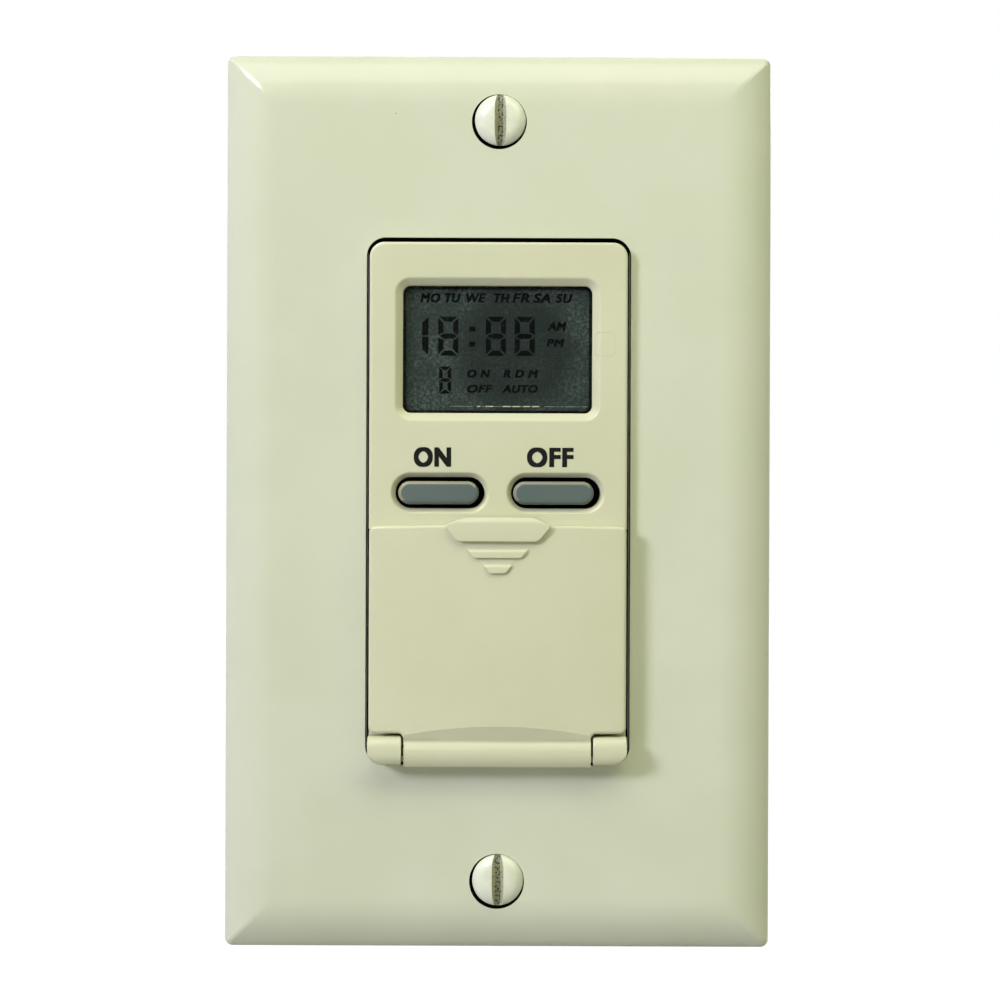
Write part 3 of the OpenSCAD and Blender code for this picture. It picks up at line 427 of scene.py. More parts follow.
@dataclass(frozen=True)
class Metal:
    """A metal with brushed streaks along one axis and cloudy tarnish."""

    name: str
    colour: Colour
    tarnish: Colour
    rough: float
    streaks: Triple = (1, 1, 0.05)
    worn: float = 0.5
    cloud_size: float = 5.0
    cloud_span: Point = (0.35, 0.75)
    cloud_rough: float = 0.12
    streak_size: float = 0.25
    streak_rough: float = 0.25
    streak_depth: float = 0.004

    def material(self) -> bpy.types.Material:
        """Builds the material.

        Returns:
            The material.
        """
        graph = Surface(self.name)
        cloud = graph.noise(self.cloud_size, 5).between(*self.cloud_span) * self.worn
        streak = graph.noise(self.streak_size, 3, self.streaks)
        brushed = (streak - 0.5) * self.streak_rough
        return graph.finish(
            {
                "Base Color": graph.mix(cloud, linear(self.colour), linear(self.tarnish)),
                "Metallic": 1.0,
                "Roughness": self.rough + brushed + cloud * self.cloud_rough,
                "Normal": graph.relief(streak, self.streak_depth),
            }
        )


@dataclass(frozen=True)
class PaintedMetal:
    """Paint over metal that is chipped in small flakes."""

    name: str
    paint: Colour
    metal: Colour
    rough: float
    chips: float
    flake: float = 0.45
    chip_edge: float = 0.06
    chip_metal: float = 0.8
    chip_rough: float = 0.2
    shade_size: float = 1.6
    shade_span: Point = (0.3, 0.7)
    shade_rough: float = 0.08
    shade_dull: float = 0.96
    grain: float = 0.5
    depth: float = 0.004

    def material(self) -> bpy.types.Material:
        """Builds the material.

        Returns:
            The material.
        """
        graph = Surface(self.name)
        bare = 1 - self.chips
        chip = graph.noise(self.flake, 6).between(bare, bare + self.chip_edge)
        shade = graph.noise(self.shade_size, 3).between(*self.shade_span)
        dull = tuple(part * self.shade_dull for part in self.paint)
        paint = graph.mix(shade, linear(self.paint), linear(dull))
        return graph.finish(
            {
                "Base Color": graph.mix(chip, paint, linear(self.metal)),
                "Metallic": chip * self.chip_metal,
                "Roughness": self.rough + chip * self.chip_rough + (shade - 0.5) * self.shade_rough,
                "Normal": graph.relief(graph.noise(self.grain, 2) - chip, self.depth),
            }
        )


@dataclass(frozen=True)
class DisplayCell:
    """Dark liquid crystal glass, mottled by the film over it and shaded in a round patch."""

    name: str
    colour: Colour
    cloud: Colour
    shade: Colour
    patch: Triple
    patch_r: float
    patch_core: float = 0.55
    patch_cover: float = 0.75
    fine_size: float = 0.4
    fine_span: Point = (0.38, 0.68)
    broad_size: float = 5.0
    broad_span: Point = (0.42, 0.62)
    broad_share: float = 0.65
    fleck: Colour = (150, 158, 148)
    fleck_gap: float = 1.7
    fleck_span: Point = (0.03, 0.06)
    fleck_cover: float = 0.35
    rough: float = 0.32
    fine_rough: float = 0.2
    depth: float = 0.004
    shine: float = 0.08

    def material(self) -> bpy.types.Material:
        """Builds the material.

        Returns:
            The material.
        """
        graph = Surface(self.name)
        fine = graph.noise(self.fine_size, 4).between(*self.fine_span)
        broad = graph.noise(self.broad_size, 4).between(*self.broad_span)
        away = graph.distance(self.patch).between(self.patch_r * self.patch_core, self.patch_r)
        mottle = fine * (1 - self.broad_share + broad * self.broad_share)
        base = graph.mix(mottle, linear(self.colour), linear(self.cloud))
        fleck = 1 - graph.cells(self.fleck_gap).between(*self.fleck_span)
        flecked = graph.mix(fleck * self.fleck_cover, base, linear(self.fleck))
        return graph.finish(
            {
                "Base Color": graph.mix((1 - away) * self.patch_cover, flecked, linear(self.shade)),
                "Roughness": self.rough + fine * self.fine_rough,
                "Normal": graph.relief(fine, self.depth),
                "Specular IOR Level": self.shine,
            }
        )


@dataclass(frozen=True)
class ClearSheet:
    """A clear sheet that shows only by its gloss, its faint haze and its scratches."""

    name: str
    colour: Colour
    haze: float
    rough: float
    cloud_size: float = 2.2
    cloud_span: Point = (0.35, 0.75)
    cloud_rough: float = 0.1
    scratch_size: float = 0.5
    scratch_stretch: Triple = (1, 1, 0.08)
    scratch_span: Point = (0.66, 0.72)
    scratch_haze: float = 0.03

    def material(self) -> bpy.types.Material:
        """Builds the material.

        Returns:
            The material.
        """
        graph = Surface(self.name)
        cloud = graph.noise(self.cloud_size, 5).between(*self.cloud_span)
        lines = graph.noise(self.scratch_size, 3, self.scratch_stretch)
        scratch = lines.between(*self.scratch_span)
        return graph.finish(
            {
                "Base Color": linear(self.colour),
                "Alpha": self.haze * (0.5 + cloud) + scratch * self.scratch_haze,
                "Roughness": self.rough + cloud * self.cloud_rough,
            }
        )


@dataclass(frozen=True)
class CircuitBoard:
    """Green solder mask over a copper pattern, with tinned pads."""

    name: str
    mask: Colour
    copper: Colour
    pitch: float
    tin: Colour = (176, 178, 174)
    tin_metal: float = 0.9
    region_size: float = 7.0
    region_span: Point = (0.48, 0.52)
    trace_span: Point = (0.62, 0.72)
    trace_cover: float = 0.6
    pad_span: Point = (0.16, 0.2)
    rough: float = 0.34
    haze_size: float = 0.8
    haze_rough: float = 0.1
    depth: float = 0.02

    def material(self) -> bpy.types.Material:
        """Builds the material.

        Returns:
            The material.
        """
        graph = Surface(self.name)
        across = graph.bands(self.pitch, "X").between(*self.trace_span)
        along = graph.bands(self.pitch, "Z").between(*self.trace_span)
        region = graph.noise(self.region_size, 1).between(*self.region_span)
        trace = across * region + along * (1 - region)
        pad = 1 - graph.cells(self.pitch * 2).between(*self.pad_span)
        mask = graph.mix(trace * self.trace_cover, linear(self.mask), linear(self.copper))
        return graph.finish(
            {
                "Base Color": graph.mix(pad, mask, linear(self.tin)),
                "Metallic": pad * self.tin_metal,
                "Roughness": self.rough + graph.noise(self.haze_size) * self.haze_rough,
                "Normal": graph.relief(trace + pad, self.depth),
            }
        )


@dataclass(frozen=True)
class Winding:
    """Enamelled copper wire in close turns."""

    name: str
    colour: Colour
    gap: Colour
    wire: float
    metal: float = 0.9
    rough: float = 0.3
    haze_size: float = 1.5
    haze_rough: float = 0.15
    depth: float = 0.06

    def material(self) -> bpy.types.Material:
        """Builds the material.

        Returns:
            The material.
        """
        graph = Surface(self.name)
        turn = graph.bands(self.wire, "Y")
        return graph.finish(
            {
                "Base Color": graph.mix(turn, linear(self.gap), linear(self.colour)),
                "Metallic": self.metal,
                "Roughness": self.rough + graph.noise(self.haze_size) * self.haze_rough,
                "Normal": graph.relief(turn, self.depth),
            }
        )


GLOSS_IVORY = Plastic("gloss_ivory", (207, 211, 185), (203, 208, 180), 0.18, 1.4, 0.0012, 0.03)
SATIN_IVORY = Plastic("satin_ivory", (205, 206, 173), (201, 202, 168), 0.36, 0.14, 0.005, 0.02)
SCREW_PAINT = PaintedMetal("screw_paint", (225, 229, 205), (150, 148, 120), 0.19, 0.1)
# Slot walls and floor: chipped, worn paint, also painted darker as shade inside the slot.
SLOT_WALL_WEAR_AND_SHADE = PaintedMetal("slot_wall", (176, 178, 146), (120, 120, 92), 0.4, 0.42, 0.3)
WORN_AND_SHADED_SLOT = PaintedMetal("worn_and_shaded_slot", (150, 150, 116), (50, 58, 66), 0.5, 0.5, 0.3)
BUTTON_GREY = Plastic("button_grey", (82, 96, 92), (76, 90, 85), 0.4, 0.2, 0.006, 0.03)
SHADOW_BLACK = Plastic("shadow_black", (20, 20, 18), (14, 14, 13), 0.8, 0.3, 0.004, 0.02, 0, 0)
# Painted highlight: a pale reflection of the ivory round a button, laid on its upper rim.
BUTTON_RIM_SHEEN = Plastic("button_rim_sheen", (146, 142, 112), (124, 126, 106), 0.45, 0.2, 0.006, 0.03)
# Painted shade: the black inside the button wells, so that they look deep.
BUTTON_SHADE_BLACK = Plastic("button_painted_shade", (12, 13, 13), (8, 9, 9), 0.6, 0.2, 0.004, 0.02, 0, 0)
KEY_GREY = Plastic("key_grey", (138, 141, 128), (130, 133, 119), 0.45, 0.2, 0.006, 0.03)
PRINT_BLACK = Plastic("print_black", (12, 14, 12), (18, 20, 17), 0.5, 0.1, 0.003, 0.02, 0, 0.1)
DARK_STEEL = Metal("dark_steel", (58, 57, 54), (38, 37, 35), 0.4)
LCD_DARK = DisplayCell("lcd_dark", (39, 49, 45), (73, 85, 78), (24, 32, 29), (2.2, 19.4, 5.2), 9.5)
# Painted highlight: the film's lower edge, as a pale line that is brightest in the middle.
FILM_EDGE_SHEEN = PaintedMetal("film_edge", (118, 124, 112), (82, 90, 82), 0.4, 0.5)
FILM_GLINT = PaintedMetal("film_glint", (206, 198, 164), (96, 102, 90), 0.4, 0.5)
LCD_INK = Plastic("lcd_ink", (2, 5, 5), (5, 9, 8), 0.5, 0.3, 0.003, 0.02, 0, 0.02)
CLEAR_PANE = ClearSheet("clear_pane", (196, 204, 196), 0.003, 0.12)
CLEAR_FILM = ClearSheet("clear_film", (234, 238, 222), 0.08, 0.3)
HOLDER_WHITE = Plastic("holder_white", (219, 218, 210), (211, 210, 200), 0.45)
RUBBER = Plastic("connector_rubber", (62, 62, 65), (48, 48, 50), 0.75, 0.3, 0.01)
BLACK_PLASTIC = Plastic("black_plastic", (34, 34, 36), (28, 28, 30), 0.5, 0.3, 0.008)
HOUSING_BLACK = Plastic("housing_black", (42, 42, 44), (36, 36, 37), 0.55, 0.28, 0.02, 0.035)
RELAY_BLUE = Plastic("relay_blue", (38, 66, 132), (33, 58, 120), 0.3, 0.5, 0.003)
FILM_YELLOW = Plastic("film_yellow", (192, 154, 50), (184, 146, 44), 0.35, 0.4, 0.004)
VARISTOR_BLUE = Plastic("varistor_blue", (40, 84, 156), (34, 74, 142), 0.3, 0.6, 0.008)
CAN_SLEEVE = Plastic("can_sleeve", (34, 40, 72), (29, 34, 64), 0.28, 0.8, 0.003)
ZINC_STEEL = Metal("zinc_steel", (186, 187, 184), (150, 148, 138), 0.34, (0.05, 1, 1), 0.6)
CELL_STEEL = Metal("cell_steel", (196, 196, 198), (170, 170, 168), 0.22, (1, 1, 1), 0.3)
BRASS = Metal("brass", (196, 164, 92), (142, 112, 58), 0.3, (1, 0.06, 1), 0.6)
GROUND_GREEN = PaintedMetal("ground_green", (44, 118, 60), (150, 150, 140), 0.35, 0.3)
BOARD_GREEN = CircuitBoard("board_green", (22, 84, 52), (58, 122, 70), 2.0)
COIL_COPPER = Winding("coil_copper", (168, 92, 52), (92, 42, 22), 0.4)

Finish = Plastic | Metal | PaintedMetal | DisplayCell | ClearSheet | CircuitBoard | Winding


@functools.cache
def material_of(finish: Finish) -> bpy.types.Material:
    """Returns the material of a finish, made once."""
    return finish.material()


@dataclass(frozen=True)
class Outline:
    """A rectangle with rounded corners; large enough corners make it a pill or a circle.

    The corners are listed as upper right, upper left, lower left and lower right.
    """

    width: float
    height: float
    corners: tuple[float, float, float, float]
    x: float = 0.0
    y: float = 0.0
    least: float = LEAST_CORNER

    @classmethod
    def even(cls, width: float, height: float, corner: float, x: float = 0, y: float = 0) -> "Outline":
        """Makes an outline whose four corners are alike."""
        return cls(width, height, (corner,) * 4, x, y)

    @classmethod
    def circle(cls, radius: float, x: float = 0, y: float = 0) -> "Outline":
        """Makes a circle."""
        return cls.even(2 * radius, 2 * radius, radius, x, y)

    @classmethod
    def span(
        cls, left: float, right: float, low: float, high: float, corners: Sequence[float]
    ) -> "Outline":
        """Makes an outline from its four sides."""
        return cls(right - left, high - low, tuple(corners), (left + right) / 2, (low + high) / 2)

    def grow(self, by: float) -> "Outline":
        """Moves every side outwards, and the corners with them."""
        corners = tuple(max(corner + by, self.least) for corner in self.corners)
        return replace(self, width=self.width + 2 * by, height=self.height + 2 * by, corners=corners)

    def point(self, toward: Vector) -> Point:
        """Finds the outline's point in a direction.

        Args:
            toward: The direction from the middle of the nearest corner, of length 1.

        Returns:
            The point.
        """
        right, upper = toward.x > 0, toward.y > 0
        corner = self.corners[(0 if right else 1) if upper else (3 if right else 2)]
        corner = min(corner, self.width / 2, self.height / 2)
        return (
            self.x + math.copysign(self.width / 2 - corner, toward.x) + corner * toward.x,
            self.y + math.copysign(self.height / 2 - corner, toward.y) + corner * toward.y,
        )


@dataclass(frozen=True)
class Hole:
    """A hole through a slab, with a sloped wall below its soft rim."""

    outline: Outline
    edge: float = 0.08
    bevel: float = 0.0
    depth: float = 0.0

    def profile(self, low: float, high: float) -> list[Point]:
        """Works out the hole's wall, from the upper face to the lower one.

        Args:
            low: Height of the lower face.
            high: Height of the upper face.

        Returns:
            Distances out of the outline, with their heights.
        """
        points = [(self.bevel + self.edge + APRON, high), (self.bevel, high)]
        radii = [self.edge]
        if self.bevel:
            points.append((0, high - self.depth))
            radii.append(self.edge / 2)
        points += [(0, low), (APRON, low)]
        return soften(points, [*radii, LOW_EDGE])


def soften(points: Sequence[Point], radii: Sequence[float]) -> list[Point]:
    """Rounds the corners of an open profile.

    Args:
        points: The profile's points.
        radii: How far each inner corner is rounded, in order.

    Returns:
        The profile with its corners as short curves.
    """
    soft = [points[0]]
    for before, corner, after, radius in zip(points, points[1:], points[2:], radii):
        at = Vector(corner)
        start = at + (Vector(before) - at).normalized() * radius
        end = at + (Vector(after) - at).normalized() * radius
        for step in range(SOFT_STEPS + 1):
            share = step / SOFT_STEPS
            curve = start * (1 - share) ** 2 + at * 2 * share * (1 - share) + end * share**2
            soft.append((curve.x, curve.y))
    return [*soft, points[-1]]


def rectangle(left: float, right: float, low: float, high: float) -> list[Point]:
    """Returns a rectangle's corners, counted anticlockwise."""
    return [(left, low), (right, low), (right, high), (left, high)]


def on_arc(centre: Point, radius: float, turn: float) -> Point:
    """Returns the point of an arc that lies a turn away from straight up."""
    return centre[0] + radius * math.sin(turn), centre[1] + radius * math.cos(turn)


class Bench:
    """A mesh being shaped on the bench, in millimetres."""

    def __init__(self) -> None:
        """Starts with nothing on the bench."""
        self.mesh = bmesh.new()

    @classmethod
    def from_node(cls, node: str) -> "Bench":
        """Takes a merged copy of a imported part.

        Args:
            node: The part's name.

        Returns:
            A bench that holds the copy.
        """
        bench = cls()
        bench.mesh.from_mesh(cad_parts[node].data)
        bench.move(STAND.inverted())
        bmesh.ops.remove_doubles(bench.mesh, verts=bench.mesh.verts, dist=PACKED_MERGE_GAP)
        bmesh.ops.dissolve_limit(
            bench.mesh, angle_limit=FLAT_ANGLE, verts=bench.mesh.verts, edges=bench.mesh.edges
        )
        return bench

    def ring(self, outline: Outline, height: float) -> Ring:
        """Lays one closed outline on the bench.

        Args:
            outline: The outline.
            height: The height at which it lies.

        Returns:
            Its edges.
        """
        turn = Matrix.Rotation(math.pi / (4 * ARC_STEPS), 4, "Z")
        made = bmesh.ops.create_circle(self.mesh, segments=4 * ARC_STEPS, radius=1, matrix=turn)
        for vert in made["verts"]:
            vert.co = (*outline.point(vert.co), height)
        return list(dict.fromkeys(edge for vert in made["verts"] for edge in vert.link_edges))

    def loft(self, outline: Outline, profile: Iterable[Point]) -> tuple[Ring, Ring]:
        """Sweeps a profile round an outline.

        Args:
            outline: The outline that the profile follows.
            profile: Distances out of the outline, with their heights.

        Returns:
            The edges of the first and the last ring.
        """
        profile = list(profile)
        rings = [self.ring(outline.grow(out), step) for step, (out, _) in enumerate(profile)]
        self.bridge(rings)
        for ring, (_, height) in zip(rings, profile):
            for vert in {vert for edge in ring for vert in edge.verts}:
                vert.co.z = height
        return rings[0], rings[-1]

    def bridge(self, rings: Sequence[Ring]) -> None:
        """Joins each ring to the one above it; they must lie at rising heights."""
        for ring, following in zip(rings, rings[1:]):
            bmesh.ops.bridge_loops(self.mesh, edges=ring + following)

    def fill(self, *rings: Ring) -> None:
        """Fills the flat face between an outer ring and the rings inside it."""
        edges = [edge for ring in rings for edge in ring]
        bmesh.ops.triangle_fill(self.mesh, use_beauty=True, edges=edges, normal=(0, 0, 1))

    def slab(
        self, outline: Outline, low: float, high: float, edge: float, holes: Sequence[Hole] = ()
    ) -> None:
        """Makes a plate with a soft upper edge.

        Args:
            outline: Its outline.
            low: Height of its lower face.
            high: Height of its upper face.
            edge: Radius of its upper edge.
            holes: The holes through it.
        """
        points = [(-APRON, low), (0, low), (0, high), (-edge - APRON, high)]
        under, over = self.loft(outline, soften(points, [LOW_EDGE, edge]))
        walls = [self.loft(hole.outline, hole.profile(low, high)) for hole in holes]
        self.fill(over, *[upper for upper, _ in walls])
        self.fill(under, *[lower for _, lower in walls])

    def prism(
        self, points: Sequence[Point], low: float, high: float, corner: float = 0, edge: float = 0
    ) -> None:
        """Makes a solid over a polygon, with rounded corners and a soft upper edge.

        Args:
            points: The polygon, counted anticlockwise.
            low: Height of its lower face.
            high: Height of its upper face.
            corner: How far the corners of the outline are rounded.
            edge: Radius of the upper edge.
        """
        known = set(self.mesh.faces)
        verts = [self.mesh.verts.new((x, y, low)) for x, y in points]
        self.mesh.faces.new(verts)
        if corner:
            self.bevel(verts, corner, "VERTICES")
        base = next(face for face in self.mesh.faces if face not in known)
        made = bmesh.ops.extrude_face_region(self.mesh, geom=[base])["geom"]
        raised = [item for item in made if isinstance(item, bmesh.types.BMVert)]
        bmesh.ops.translate(self.mesh, verts=raised, vec=(0, 0, high - low))
        if edge:
            top = next(item for item in made if isinstance(item, bmesh.types.BMFace))
            self.bevel(list(top.edges), edge, "EDGES")

    def lathe(self, profile: Sequence[Point], place: Matrix, closed: bool = False) -> None:
        """Turns a profile round the z axis and puts the shape in place.

        Args:
            profile: Radii, with their heights.
            place: Where the shape goes.
            closed: Whether the profile's end joins its start.
        """
        known = set(self.mesh.verts)
        verts = [self.mesh.verts.new((radius, 0, height)) for radius, height in profile]
        pairs = list(zip(verts, verts[1:]))
        if closed:
            pairs.append((verts[-1], verts[0]))
        edges = [self.mesh.edges.new(pair) for pair in pairs]
        bmesh.ops.spin(
            self.mesh,
            geom=verts + edges,
            axis=(0, 0, 1),
            angle=2 * math.pi,
            steps=TURN_STEPS,
            use_merge=True,
        )
        self.place_new(known, place)

    def place_new(self, known: set[bmesh.types.BMVert], place: Matrix) -> None:
        """Puts the points that have been added to the known ones in place."""
        made = [vert for vert in self.mesh.verts if vert not in known]
        bmesh.ops.transform(self.mesh, matrix=place, verts=made)

    def thread(
        self, root: float, crest: float, pitch: float, low: float, turns: int, place: Matrix
    ) -> None:
        """Winds a screw thread's ridge round the z axis and puts it in place.

        Args:
            root: Radius of the ridge's foot.
            crest: Radius of its crest.
            pitch: How far it climbs in one turn.
            low: Height at which it starts.
            turns: How many turns it makes.
            place: Where the screw goes.
        """
        known = set(self.mesh.verts)
        half = pitch * TOOTH_SHARE
        corners = [(root, low - half), (crest, low), (root, low + half)]
        tooth = self.mesh.faces.new([self.mesh.verts.new((x, 0, z)) for x, z in corners])
        turn_steps = TURN_STEPS // 2
        bmesh.ops.spin(
            self.mesh,
            geom=[tooth, *tooth.edges, *tooth.verts],
            axis=(0, 0, 1),
            dvec=(0, 0, pitch / turn_steps),
            angle=2 * math.pi * turns,
            steps=turn_steps * turns,
        )
        self.place_new(known, place)

    def words(self, text: str, box: Outline, low: float, high: float, slant: float, weight: float) -> None:
        """Sets thin letters that fill a box.

        Args:
            text: The letters.
            box: The rectangle that they fill.
            low: Height of their underside.
            high: Height of their face.
            slant: How far they lean.
            weight: How much wider than plain their strokes are.
        """
        curve = bpy.data.curves.new("letters", "FONT")
        curve.body = text
        curve.shear = slant
        curve.extrude = LETTER_DEPTH
        curve.space_character = LETTER_SPACE
        setting = bpy.data.objects.new("letters", curve)
        bpy.context.scene.collection.objects.link(setting)
        graph = bpy.context.evaluated_depsgraph_get()
        plain = bpy.data.meshes.new_from_object(setting.evaluated_get(graph))
        bpy.data.objects.remove(setting)
        least = Vector(min(vert.co[axis] for vert in plain.vertices) for axis in range(3))
        most = Vector(max(vert.co[axis] for vert in plain.vertices) for axis in range(3))
        size = most - least
        room = Vector((box.width - weight, box.height - weight * LETTER_RISE, high - low))
        scale = Matrix.Diagonal((*(room[axis] / size[axis] for axis in range(3)), 1))
        plain.transform(scale @ Matrix.Translation(-(least + most) / 2))
        middle = Vector((box.x, box.y, (low + high) / 2))
        for order, (across, up) in enumerate(itertools.product((-1, 0, 1), repeat=2)):
            shifted = plain.copy()
            rise = up * weight * LETTER_RISE / 2
            nudge = Vector((across * weight / 2, rise, order * LEAST_LIFT))
            shifted.transform(Matrix.Translation(middle + nudge))
            self.mesh.from_mesh(shifted)
            bpy.data.meshes.remove(shifted)
        bpy.data.meshes.remove(plain)

    def soften_edges(self, width: float, chosen: Callable[[Vector], bool] | None = None) -> None:
        """Rounds the sharp edges.

        Args:
            width: How wide the rounding is.
            chosen: Tells from an edge's middle whether it is rounded; without it all are.
        """
        sharp = [
            edge
            for edge in self.mesh.edges
            if edge.is_manifold
            and edge.calc_face_angle() > SHARP_ANGLE
            and (chosen is None or chosen((edge.verts[0].co + edge.verts[1].co) / 2))
        ]
        self.bevel(sharp, width, "EDGES", EASE_STEPS)

    def bevel(self, geom: list, width: float, affect: str, steps: int = SOFT_STEPS) -> None:
        """Rounds corners or edges.

        Args:
            geom: The corners or edges.
            width: How far they are cut back.
            affect: Which of the two they are, VERTICES or EDGES.
            steps: How many faces make the rounding.
        """
        bmesh.ops.bevel(
            self.mesh,
            geom=geom,
            offset=width,
            offset_type="OFFSET",
            segments=steps,
            profile=0.5,
            affect=affect,
            clamp_overlap=True,
            material=-1,
        )

    def join(self, tool: "Bench", way: Join) -> None:
        """Adds another closed shape to this one, or takes it away.

        Args:
            tool: The other shape.
            way: Whether it is added or taken away.
        """
        body, blade = (part.as_object(name) for part, name in ((self, "body"), (tool, "blade")))
        joining = body.modifiers.new("join", "BOOLEAN")
        joining.object = blade
        joining.operation = way.value
        joining.solver = "EXACT"
        graph = bpy.context.evaluated_depsgraph_get()
        result = bpy.data.meshes.new_from_object(body.evaluated_get(graph))
        self.mesh.clear()
        self.mesh.from_mesh(result)
        for spent in (body, blade):
            bpy.data.objects.remove(spent)

    def as_object(self, name: str) -> bpy.types.Object:
        """Makes a plain object of what is on the bench.

        Args:
            name: Its name.

        Returns:
            The object, with its faces pointing outwards.
        """
        bmesh.ops.remove_doubles(self.mesh, verts=self.mesh.verts, dist=MERGE_GAP)
        self.face_outwards()
        mesh = bpy.data.meshes.new(name)
        self.mesh.to_mesh(mesh)
        made = bpy.data.objects.new(name, mesh)
        bpy.context.scene.collection.objects.link(made)
        return made

    def face_outwards(self) -> None:
        """Turns every face outwards."""
        bmesh.ops.recalc_face_normals(self.mesh, faces=self.mesh.faces)

    def add(self, other: "Bench") -> None:
        """Lays a finished copy of another shape beside what is on the bench.

        Args:
            other: The bench with the other shape.
        """
        made = other.as_object("addition")
        self.mesh.from_mesh(made.data)
        bpy.data.objects.remove(made)

    def cut(self, spot: Triple, toward: Triple, clear: bool = False) -> Ring:
        """Cuts everything on the bench along a plane.

        Args:
            spot: A point of the plane.
            toward: The direction that the plane faces.
            clear: Whether what lies in that direction is taken away.

        Returns:
            The edges that lie in the plane.
        """
        everything = [*self.mesh.verts, *self.mesh.edges, *self.mesh.faces]
        made = bmesh.ops.bisect_plane(
            self.mesh, geom=everything, plane_co=spot, plane_no=toward, clear_outer=clear
        )
        return [item for item in made["geom_cut"] if isinstance(item, bmesh.types.BMEdge)]

    def move(self, matrix: Matrix) -> None:
        """Moves everything on the bench."""
        bmesh.ops.transform(self.mesh, matrix=matrix, verts=self.mesh.verts)

    def paint(self, index: int, chosen: Callable[[bmesh.types.BMFace], bool]) -> None:
        """Gives chosen faces another of the piece's finishes.

        Args:
            index: Number of the finish, where the main one is 0.
            chosen: Tells whether a face gets it.
        """
        for face in self.mesh.faces:
            if chosen(face):
                face.material_index = index

    def piece(
        self,
        name: str,
        body: Body,
        slot: str,
        *finishes: Finish,
        nodes: Sequence[str] = (),
        crease: float = SHARP_ANGLE,
    ) -> bpy.types.Object:
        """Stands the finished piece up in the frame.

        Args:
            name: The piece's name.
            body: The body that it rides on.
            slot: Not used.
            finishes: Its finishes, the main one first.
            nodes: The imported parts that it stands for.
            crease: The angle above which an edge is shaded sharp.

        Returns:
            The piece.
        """
        made = self.as_object(name)
        made.data.transform(STAND)
        self.mesh.free()
        made.data.shade_smooth()
        made.data.set_sharp_from_angle(angle=crease)
        for finish in finishes:
            made.data.materials.append(material_of(finish))
        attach(made, body.value)
        if nodes:
            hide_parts(*nodes)
        log.info("%s: %d faces", name, len(made.data.polygons))
        return made


def bench_box(node: str) -> tuple[Vector, Vector]:
    """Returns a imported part's lowest and highest corners on the bench, in millimetres."""
    low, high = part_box(node)
    return Vector((low.x, low.z, -high.y)) / MM, Vector((high.x, high.z, -low.y)) / MM


def along_x(x: float, y: float, z: float) -> Matrix:
    """Returns the place of a turned shape whose axis lies along +x through a point."""
    return Matrix.Translation((x, y, z)) @ Matrix.Rotation(math.radians(90), 4, "Y")


